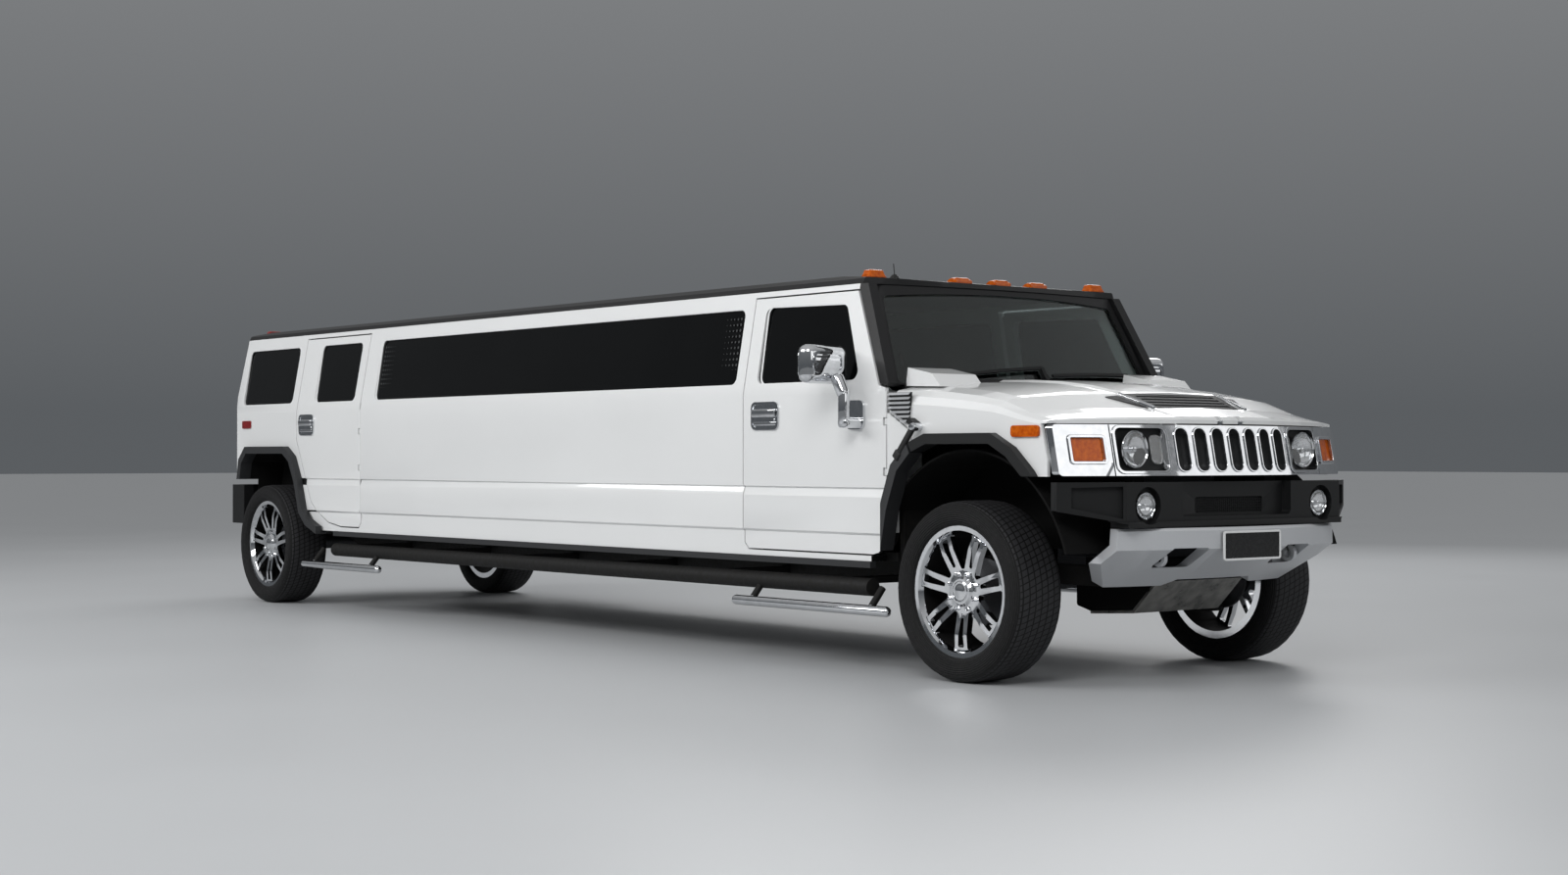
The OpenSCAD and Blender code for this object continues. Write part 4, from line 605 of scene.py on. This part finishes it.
def mirror(side, sign):
    """Door mirror: plated head with a framed face, cranked arm and foot, and the glass on its back."""
    body = "front_door_" + side
    turn = math.radians(MIRROR_TURN) * -sign
    ahead = Vector((math.cos(turn), math.sin(turn), 0))
    out = Vector((-math.sin(turn) * sign, math.cos(turn) * sign, 0))
    up = Vector((0, 0, 1))
    way, flat = (out, up, ahead), side_way(sign)
    head = Vector((MIRROR_HEAD[0], sign * MIRROR_HEAD[1], MIRROR_HEAD[2]))
    face = head + MIRROR_FACE * ahead
    parts = [placed(rounded_block(*MIRROR_SHELL), way, head), placed(slab(*MIRROR_FRAME), way, face)]
    for lift in MIRROR_BARS:
        outline = box_outline(BAR_WIDE, BAR_HIGH, BAR_ACROSS, lift)
        parts.append(placed(slab(outline, BAR_DEEP, BAR_CORNER), way, face))
    foot = Vector((MIRROR_FOOT[0], sign * MIRROR_FOOT[1], MIRROR_FOOT[2]))
    parts.append(placed(slab(*MIRROR_PLINTH), flat, foot))
    post = foot + Vector((MIRROR_POST[0], sign * MIRROR_POST[1], 0.0))
    for size, edge, outwards, lift in MIRROR_ARM:
        at = post + Vector((0, sign * outwards, lift))
        parts.append(placed(rounded_block(size, edge), flat, at))
    rise = Vector((NECK_RISE[0], sign * NECK_RISE[1], NECK_RISE[2])).normalized()
    across = Vector((1, 0, 0)).cross(rise).normalized()
    neck_way = (-across.cross(rise), rise, across)
    neck_at = post + Vector((NECK_AT[0], sign * NECK_AT[1], NECK_AT[2]))
    parts.append(placed(rounded_block(*MIRROR_NECK), neck_way, neck_at))
    shell = finished("door_mirror_" + side, joined(parts), CHROME, body, angle=40)
    pane = placed(slab(*MIRROR_PANE), (out, up, -ahead), head - MIRROR_BACK * ahead)
    finished("door_mirror_glass_" + side, pane, MIRROR, body, angle=40)
    return shell


# Handle's rim and dish: outline, depth, corner and band.
HANDLE_RIM = (box_outline(0.222, 0.142), 0.008, 0.032, 0.014)
HANDLE_DISH = (box_outline(0.200, 0.120), 0.003, 0.024)
# Lock barrel as radius and height, and its place ahead of and above the handle's middle.
LOCK = ((0, 0.006), (0.008, 0.006), (0.010, 0.004), (0.010, 0.0), (0, 0.0))
LOCK_AHEAD, LOCK_UP = 0.070, -0.020
# Paddle and finger bar of a handle: size, edge radius, how far out and how far up.
HANDLE_BARS = (((0.186, 0.042, 0.020), 0.009, 0.014, 0.014), ((0.186, 0.020, 0.010), 0.004, 0.006, -0.040))


def handle(name, body, sign, x, z):
    """Door handle: a plated dish with a rim, a paddle and a finger bar across it, and a lock barrel."""
    way = side_way(sign)
    y = sign * (SIDE_Y + SKIN_GAP)
    parts = [placed(slab(*HANDLE_RIM), way, (x, y, z)), placed(slab(*HANDLE_DISH), way, (x, y, z))]
    for size, edge, out, up in HANDLE_BARS:
        parts.append(placed(rounded_block(size, edge), way, (x, y + sign * out, z + up)))
    parts.append(placed(turned(LOCK, steps=20), way, (x + LOCK_AHEAD, y, z + LOCK_UP)))
    return finished(name, joined(parts), CHROME, body, angle=35)


# Vent behind the front arch: slats, top one's height, spacing, front and back end from the axle, half a
# slat's width, thickness, lean in degrees and how far out.
SLATS, SLAT_TOP, SLAT_STEP = 7, 1.328, 0.0215
SLAT_FRONT, SLAT_BACK = -0.338, -0.488
SLAT_HALF, SLAT_THICK, SLAT_LEAN, SLAT_OUT = 0.008, 0.003, math.radians(50), 0.013
# Below this height the slats' back ends move forward, by so much for each metre down.
VENT_KINK, VENT_SLOPE = 1.250, 1.75


def vent_slats(side, sign):
    """Silver slats of the side vent, longer towards the top."""
    way = ((1, 0, 0), (0, -sign * math.sin(SLAT_LEAN), math.cos(SLAT_LEAN)),
           (0, sign * math.cos(SLAT_LEAN), math.sin(SLAT_LEAN)))
    slats = []
    for i in range(SLATS):
        up = SLAT_TOP - i * SLAT_STEP
        back = SLAT_BACK + max(0.0, VENT_KINK - up) * VENT_SLOPE
        outline = [(back, -SLAT_HALF), (SLAT_FRONT, -SLAT_HALF), (SLAT_FRONT, SLAT_HALF), (back, SLAT_HALF)]
        slats.append(placed(slab(outline, SLAT_THICK), way, (FRONT_AXLE, sign * (SIDE_Y + SLAT_OUT), up)))
    finished("vent_slats_" + side, joined(slats), SILVER, "hood", width=0.001)


# Hood latch: knob's and hook's distance from the axle and height, and how far out both lie.
LATCH_KNOB, LATCH_HOOK, LATCH_OUT = (-0.282, 1.172), (-0.392, 1.040), 0.040
# Strap's width, thickness and edge radius, and the hook as size and edge radius.
STRAP_WIDE, STRAP_THICK, STRAP_EDGE = 0.030, 0.024, 0.009
HOOK = ((0.044, 0.046, 0.028), 0.009)
# Knob as radius and height.
KNOB = ((0, 0.020), (0.014, 0.018), (0.021, 0.008), (0.021, -0.040), (0, -0.040))


def hood_latch(side, sign):
    """Rubber strap between a plated knob on the hood and a hook near the arch."""
    top, low = (Vector((FRONT_AXLE + x, sign * (SIDE_Y + LATCH_OUT), z)) for x, z in (LATCH_KNOB, LATCH_HOOK))
    out = Vector((0, sign, 0))
    strap = (low - top).normalized()
    way = (strap.cross(out), strap, out)
    size = (STRAP_WIDE, (low - top).length, STRAP_THICK)
    parts = [placed(rounded_block(size, STRAP_EDGE), way, (top + low) / 2),
             placed(rounded_block(*HOOK), way, low)]
    finished("hood_latch_" + side, joined(parts), SEAL, "hood", angle=40)
    knob = placed(turned(KNOB, steps=24), side_way(sign), top)
    finished("hood_latch_knob_" + side, knob, CHROME, "hood", angle=40)


# Step legs: distance from the front axle, place of the top and of the foot as across and up.
LEGS = (-1.510, -0.590, REAR_AXLE - FRONT_AXLE + 1.560, REAR_AXLE - FRONT_AXLE + 0.760)
LEG_TOP, LEG_FOOT = (SIDE_Y - 0.040, 0.404), (SIDE_Y + 0.045, 0.300)
# Sleeve's radius, and how far it ends short of the foot.
SLEEVE_RADIUS, SLEEVE_SHORT = 0.0175, 0.026


def step_sleeves(side, sign):
    """Black sleeves over the step legs."""
    leg = Vector((0, LEG_FOOT[0] - LEG_TOP[0], LEG_FOOT[1] - LEG_TOP[1]))
    axis = leg.normalized()
    flat = Vector((1, 0, 0))
    long = leg.length - SLEEVE_SHORT
    sleeves = []
    for x in LEGS:
        sleeve = turned([(0.0, 0.0), (SLEEVE_RADIUS, 0.0), (SLEEVE_RADIUS, long), (0.0, long)], 20)
        placed(sleeve, (flat, axis.cross(flat), axis), (FRONT_AXLE + x, *LEG_TOP))
        if sign < 0:
            bmesh.ops.scale(sleeve, vec=(1, -1, 1), verts=sleeve.verts)
            bmesh.ops.recalc_face_normals(sleeve, faces=sleeve.faces)
        sleeves.append(sleeve)
    finished("step_sleeves_" + side, joined(sleeves), CHASSIS, "chassis", angle=40)


# Windows with straight sides: name, the door they ride on, front and rear edge from the front axle.
WINDOWS = (("long", None, -1.710, -5.610), ("quarter", None, -6.816, -7.606),
           ("rear_door", "rear_door_", -5.895, -6.465))
# Bead: corner radius, height of the upper and lower corners' middles, steps to a corner, depth, thickness.
BEAD_ROUND, BEAD_HIGH, BEAD_LOW, BEAD_STEPS = 0.045, 1.750, 1.450, 5
BEAD_DEPTH, BEAD_RADIUS = 0.006, 0.005
# Surround: how far past the window's edge it reaches, and its foot and head.
RING_PAST, RING_FOOT, RING_HEAD = 0.014, 1.391, 1.809
# Surround of the front door's leaning window: corners as distance from the front axle and height.
FRONT_WINDOW = ((-0.702, RING_FOOT), (-0.880, 1.795), (-1.521, RING_HEAD), (-1.521, RING_FOOT))
# Surround's height above the skin, corner radius and band.
RING_RAISED, RING_ROUND, RING_BAND = 0.004, 0.054, 0.012


def window_beads(side, sign):
    """Rubber beads round the windows with straight sides."""
    for name, door, front, rear in WINDOWS:
        loop = []
        for x, z, start in ((front - BEAD_ROUND, BEAD_HIGH, 0), (rear + BEAD_ROUND, BEAD_HIGH, 90),
                            (rear + BEAD_ROUND, BEAD_LOW, 180), (front - BEAD_ROUND, BEAD_LOW, 270)):
            for step in range(BEAD_STEPS + 1):
                angle = math.radians(start + 90 / BEAD_STEPS * step)
                up = z + BEAD_ROUND * math.sin(angle)
                y = BELT_Y - (up - BELT_Z) * BAND_LEAN - BEAD_DEPTH
                loop.append((FRONT_AXLE + (x + BEAD_ROUND * math.cos(angle)), sign * y, up))
        tube("%s_window_bead_%s" % (name, side), loop, BEAD_RADIUS, door + side if door else "chassis", True)


def window_surrounds(side, sign):
    """Pressed surrounds of the windows, raised from the leaning skin."""
    slope = math.hypot(1, BAND_LEAN)
    way = ((1, 0, 0), (0, -sign * BAND_LEAN / slope, 1 / slope), (0, sign / slope, BAND_LEAN / slope))
    rows = []
    for name, door, front, rear in WINDOWS:
        x0, x1 = front + RING_PAST, rear - RING_PAST
        rows.append((name, door, ((x0, RING_FOOT), (x0, RING_HEAD), (x1, RING_HEAD), (x1, RING_FOOT))))
    rows.append(("front_door", "front_door_", FRONT_WINDOW))
    for name, door, corners in rows:
        outline = [(x, (z - BELT_Z) * slope) for x, z in corners]
        ring = placed(slab(outline, RING_RAISED, RING_ROUND, RING_BAND, 6), way,
                      (FRONT_AXLE, sign * (BELT_Y - SKIN_GAP), BELT_Z))
        body = door + side if door else "chassis"
        finished("%s_window_surround_%s" % (name, side), ring, WHITE, body, width=0.0015)


# Printed dots: ends of the long pane with the way inwards, columns, rows, spacing, height of the lowest,
# radius of the first column, how much each next column shrinks, and depth behind the skin.
DOT_ENDS, DOT_COLUMNS, DOT_ROWS = ((-1.745, -1), (-5.575, 1)), 5, 11
DOT_SPACE, DOT_FOOT, DOT_RADIUS, DOT_FADE, DOT_DEPTH = 0.030, 1.450, 0.0075, 0.0012, 0.0015


def window_dots(side, sign):
    """Dots that fade towards the middle of the long window."""
    way = ((1, 0, 0), (0, -sign * BAND_LEAN, 1), (0, sign, BAND_LEAN))
    dots = []
    for end, inwards in DOT_ENDS:
        for column in range(DOT_COLUMNS):
            for row in range(DOT_ROWS):
                dot = bmesh.new()
                bmesh.ops.create_circle(dot, cap_ends=True, segments=8, radius=DOT_RADIUS - DOT_FADE * column)
                x = end + inwards * DOT_SPACE * column
                z = DOT_FOOT + DOT_SPACE * row
                y = BELT_Y - (z - BELT_Z) * BAND_LEAN - DOT_DEPTH
                dots.append(placed(dot, way, (FRONT_AXLE + x, sign * y, z)))
    finished("window_dots_" + side, joined(dots), DOTS, "chassis")


# Door handles: distance from the front axle and height.
FRONT_HANDLE, REAR_HANDLE = (FRONT_AXLE - 1.448, 1.240), (FRONT_AXLE - 6.569, 1.252)


def side_dress(side, sign):
    """What hangs on one side of the car."""
    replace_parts(mirror(side, sign), "front_door_%s_chrome" % side)
    handle("front_handle_" + side, "front_door_" + side, sign, *FRONT_HANDLE)
    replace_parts(handle("rear_handle_" + side, "rear_door_" + side, sign, *REAR_HANDLE),
                "rear_door_%s_handle" % side)
    for dress in (vent_slats, hood_latch, step_sleeves, window_beads, window_surrounds, window_dots):
        dress(side, sign)


# Pads: cuts to an edge, how sharply the swell falls off at a face's rim, and passes of smoothing.
PAD_CUTS, PAD_FALL, PAD_PASSES = 7, 4, 2
# A corner this far from the middle of a block of size 1 lies on its face.
ON_FACE = 0.499


def pad(size, at, crown, tilt):
    """A stuffed cushion: a block divided, swollen towards the middle of each face, smoothed and tilted."""
    bm = bmesh.new()
    bmesh.ops.create_cube(bm, size=1.0)
    bmesh.ops.subdivide_edges(bm, edges=bm.edges[:], cuts=PAD_CUTS, use_grid_fill=True)
    for vert in bm.verts:
        swell = [1 - (2 * c) ** PAD_FALL for c in vert.co]
        grow = Vector((swell[1] * swell[2], swell[0] * swell[2], swell[0] * swell[1]))
        vert.co = Vector([c * s + math.copysign(g * crown, c) * (abs(c) > ON_FACE)
                          for c, s, g in zip(vert.co, size, grow)])
    for _ in range(PAD_PASSES):
        bmesh.ops.smooth_vert(bm, verts=bm.verts[:], factor=0.5, use_axis_x=True, use_axis_y=True,
                              use_axis_z=True)
    if tilt:
        bmesh.ops.rotate(bm, cent=(0, 0, 0), verts=bm.verts,
                         matrix=Matrix.Rotation(math.radians(tilt), 3, "Y"))
    bmesh.ops.translate(bm, vec=at, verts=bm.verts)
    return bm


# Front seat's cushion, back and head pad: size, distance along, height, swell and tilt in degrees.
FRONT_PADS = (((0.480, 0.510, 0.290), FRONT_AXLE - 1.310, 0.745, 0.014, 0),
              ((0.120, 0.500, 0.500), FRONT_AXLE - 1.572, 1.085, 0.014, -10),
              ((0.085, 0.250, 0.180), FRONT_AXLE - 1.612, 1.410, 0.010, 0))
# Cushion and back of each place on the side bench: size, across and height.
SIDE_PADS = (((0.580, 0.590, 0.320), 0.545, 0.735), ((0.580, 0.130, 0.420), 0.710, 1.110))
# Cushion and back of each place on the rear bench: size, distance along and height.
REAR_PADS = (((0.600, 0.430, 0.320), REAR_AXLE + 0.255, 0.735),
             ((0.170, 0.430, 0.800), REAR_AXLE - 0.150, 0.985))
# Where the places are across or along, and the swell of the benches' pads.
FRONT_PLACES = (-0.400, 0.400)
SIDE_PLACES = [FRONT_AXLE - 2.400 - i * 0.590 for i in range(6)]
REAR_PLACES = (-0.440, 0.0, 0.440)
BENCH_SWELL = 0.012


def seats():
    """Leather seats: two in front with head pads, the long side bench and the rear bench in cushions."""
    front = [pad(size, (x, y, z), swell, tilt)
             for y in FRONT_PLACES for size, x, z, swell, tilt in FRONT_PADS]
    bench = [pad(size, (x, y, z), BENCH_SWELL, 0) for x in SIDE_PLACES for size, y, z in SIDE_PADS]
    rear = [pad(size, (x, y, z), BENCH_SWELL, 0) for y in REAR_PLACES for size, x, z in REAR_PADS]
    for name, parts in (("front_seats", front), ("side_bench", bench), ("rear_bench", rear)):
        obj = finished(name, joined(parts), LEATHER, "chassis", angle=60)
        soft = obj.modifiers.new("rounding", "SUBSURF")
        soft.levels = soft.render_levels = 1
        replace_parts(obj, "seats")


# Hood vent's bars and gills: name, material, slot, height, corner, edge radius, and the outline of one as
# distance ahead of the axle and across.
HOOD_TRIM = (
    ("hood_vent_bars", CHROME, "chrome", 0.012, 0.006, 0.003,
     ((0.575, 0.312), (0.575, 0.330), (0.380, 0.362), (0.380, 0.338))),
    ("hood_gills", PLASTIC, "black_plastic", 0.004, 0.008, 0.001,
     ((0.560, 0.338), (0.388, 0.366), (0.388, 0.452))))
# Height from which pieces are dropped onto the hood.
ABOVE_HOOD = 2.0


def hood_dress():
    """Plated bars and black gills along the hood vent, laid on the hood."""
    shape = bmesh.new()
    shape.from_mesh(frame["nodes"]["hood"].data)
    skin = BVHTree.FromBMesh(shape)
    shape.free()
    for name, material, slot, height, corner, edge, corners in HOOD_TRIM:
        parts = []
        for _, sign in SIDES:
            bm = slab([(FRONT_AXLE + x, sign * y) for x, y in corners], height, corner)
            for vert in bm.verts:
                over = Vector((vert.co.x, vert.co.y, ABOVE_HOOD))
                vert.co.z += skin.ray_cast(over, Vector((0, 0, -1)))[0].z
            bmesh.ops.recalc_face_normals(bm, faces=bm.faces)
            parts.append(bm)
        finished(name, joined(parts), material, "hood", width=edge)


# Outline of the black sheet at each side of the skid plate, which paints shade there: distance ahead of the
# axle and height, then thickness, corner and place across.
FLANGE = ((0.556, 0.462), (0.418, 0.322), (0.150, 0.306), (0.060, 0.330), (0.060, 0.450), (0.460, 0.470))
FLANGE_THICK, FLANGE_CORNER, FLANGE_Y = 0.004, 0.010, 0.288


def undertray():
    """Black sheets that close the sides of the skid plate: painted shade under the front, standing for the
    shadow there and the dark suspension behind.
    """
    flanges = []
    for _, sign in SIDES:
        sheet = slab(FLANGE, FLANGE_THICK, FLANGE_CORNER)
        flanges.append(placed(sheet, side_way(sign), (FRONT_AXLE, sign * FLANGE_Y, 0)))
    # Nearly black felt here is painted shade, with the dark suspension it stands for.
    finished("skid_shade_sheets", joined(flanges), FELT, "chassis")


# Roof marker lenses: name, material, slot, and for each its distance from the front axle, across and top.
ROOF_LENSES = (
    ("roof_amber_lenses", AMBER, "amber_lens",
     ((-0.848, -0.777, 1.954), (-0.774, -0.267, 1.935), (-0.768, 0.0, 1.935), (-0.774, 0.267, 1.935),
      (-0.848, 0.777, 1.954))),
    ("roof_red_lenses", RED, "red_lens", ((-7.590, -0.740, 1.950), (-7.590, 0.740, 1.950))))
# Lens: size, edge radius, and how its top draws in.
LENS_SIZE, LENS_EDGE, LENS_TAPER = (0.078, 0.112, 0.050), 0.014, (0.72, 0.86, 1.0)
# Stub aerial: base as radius and height, place of the base, rod's ends and radius.
AERIAL_BASE = ((0, 0.022), (0.010, 0.020), (0.020, 0.010), (0.026, 0.0), (0, 0.0))
AERIAL_AT = (FRONT_AXLE - 0.950, -0.550, 1.930)
AERIAL_ROD = ((FRONT_AXLE - 0.950, -0.550, 1.945), (FRONT_AXLE - 0.958, -0.550, 2.004))
AERIAL_RADIUS = 0.0025
# Whip by the right-hand vent.
WHIP = ((FRONT_AXLE - 0.462, -0.900, 1.300), (FRONT_AXLE - 0.470, -0.905, 1.400),
        (FRONT_AXLE - 0.497, -0.915, 1.530))
WHIP_RADIUS = 0.0028


def roof_dress():
    """Roof marker lenses, a stub aerial on the roof and a whip by the right-hand vent."""
    for name, material, slot, rows in ROOF_LENSES:
        lenses = []
        for x, y, top in rows:
            lens = rounded_block(LENS_SIZE, LENS_EDGE, 3)
            bmesh.ops.scale(lens, vec=LENS_TAPER, verts=[v for v in lens.verts if v.co.z > 0])
            bmesh.ops.translate(lens, vec=(FRONT_AXLE + x, y, top - LENS_SIZE[2] / 2), verts=lens.verts)
            lenses.append(lens)
        finished(name, joined(lenses), material, "chassis")
    base = placed(turned(AERIAL_BASE, steps=24), TOP_WAY, AERIAL_AT)
    finished("roof_aerial_base", base, SEAL, "chassis", angle=40)
    tube("roof_aerial", AERIAL_ROD, AERIAL_RADIUS, "chassis")
    tube("cowl_whip", WHIP, WHIP_RADIUS, "hood")


# Half the floor's side, in metres.
FLOOR_HALF = 120
# Room: height in the view and colour at the horizon and overhead, and strength.
ROOM_STOPS, ROOM_STRENGTH = ((0.02, "#787c80"), (0.75, "#f2f3f4")), 0.55
# Soft lamps: name, place, aim, width and height, and power in watts.
SOFTBOXES = (
    ("key_softbox", (9.0, -9.0, 7.5), (0, 0, 0.8), (6.0, 4.0), 590),
    ("side_softbox", (-3.0, -10.0, 6.0), (-1.0, 0, 0.8), (9.0, 3.0), 600),
    ("grille_softbox", (12.0, 10.0, 4.4), (4.2, 0, 1.0), (9.0, 4.0), 110),
    ("corner_softbox", (15.5, 1.0, 4.6), (4.2, 0, 1.0), (7.0, 4.0), 100),
    ("back_softbox", (-6.0, 9.0, 7.0), (0, 0, 1.0), (9.0, 4.0), 420))
# Camera fitted to the photograph: place, turn and rise in degrees, focal length as a share of the width.
CAMERA_AT = (10.874, -7.912, 1.033)
CAMERA_TURN, CAMERA_RISE = math.radians(51.379), math.radians(0.496)
SENSOR_MM, FOCAL_PX, WIDTH_PX = 36.0, 2251.94, 1600
CLIP_END = 500


def studio():
    """Pale floor, soft lamps, a graded room and the camera of the photograph."""
    bm = bmesh.new()
    bmesh.ops.create_grid(bm, x_segments=1, y_segments=1, size=FLOOR_HALF)
    mesh = bpy.data.meshes.new("floor_sheet")
    bm.to_mesh(mesh)
    bm.free()
    mesh.materials.append(FLOOR)
    floor = linked("floor_sheet", mesh)

    scene = bpy.context.scene
    scene.world = bpy.data.worlds.new("studio_room")
    scene.world.use_nodes = True
    tree = scene.world.node_tree
    way = add(tree, "TexCoord").outputs["Generated"]
    height = add(tree, "SeparateXYZ", {"Vector": way}).outputs["Z"]
    ramp = add(tree, "ValToRGB", {"Fac": height})
    for stop, (position, colour) in zip(ramp.color_ramp.elements, ROOM_STOPS):
        stop.position = position
        stop.color = linear(colour)
    room = tree.nodes["Background"]
    tree.links.new(ramp.outputs["Color"], room.inputs["Color"])
    room.inputs["Strength"].default_value = ROOM_STRENGTH

    for name, place, aim, size, power in SOFTBOXES:
        lamp = bpy.data.lights.new(name, "AREA")
        lamp.shape = "RECTANGLE"
        lamp.size, lamp.size_y = size
        lamp.energy = power
        obj = linked(name, lamp)
        obj.location = place
        obj.rotation_mode = "QUATERNION"
        obj.rotation_quaternion = (Vector(aim) - Vector(place)).to_track_quat("-Z", "Y")

    lens = bpy.data.cameras.new("photo_camera")
    lens.sensor_width = SENSOR_MM
    lens.lens = SENSOR_MM * FOCAL_PX / WIDTH_PX
    lens.clip_end = CLIP_END
    camera = linked("photo_camera", lens)
    camera.location = CAMERA_AT
    camera.rotation_mode = "QUATERNION"
    aim = Vector((-math.sin(CAMERA_TURN) * math.cos(CAMERA_RISE),
                  math.cos(CAMERA_TURN) * math.cos(CAMERA_RISE), math.sin(CAMERA_RISE)))
    camera.rotation_quaternion = aim.to_track_quat("-Z", "Y")
    scene.camera = camera
    scene.view_settings.view_transform = "Standard"


for row in FINISHES:
    dressed(*row)
wheels()
lamps()
plates_and_mesh()
for side, sign in SIDES:
    side_dress(side, sign)
seats()
hood_dress()
undertray()
roof_dress()
studio()
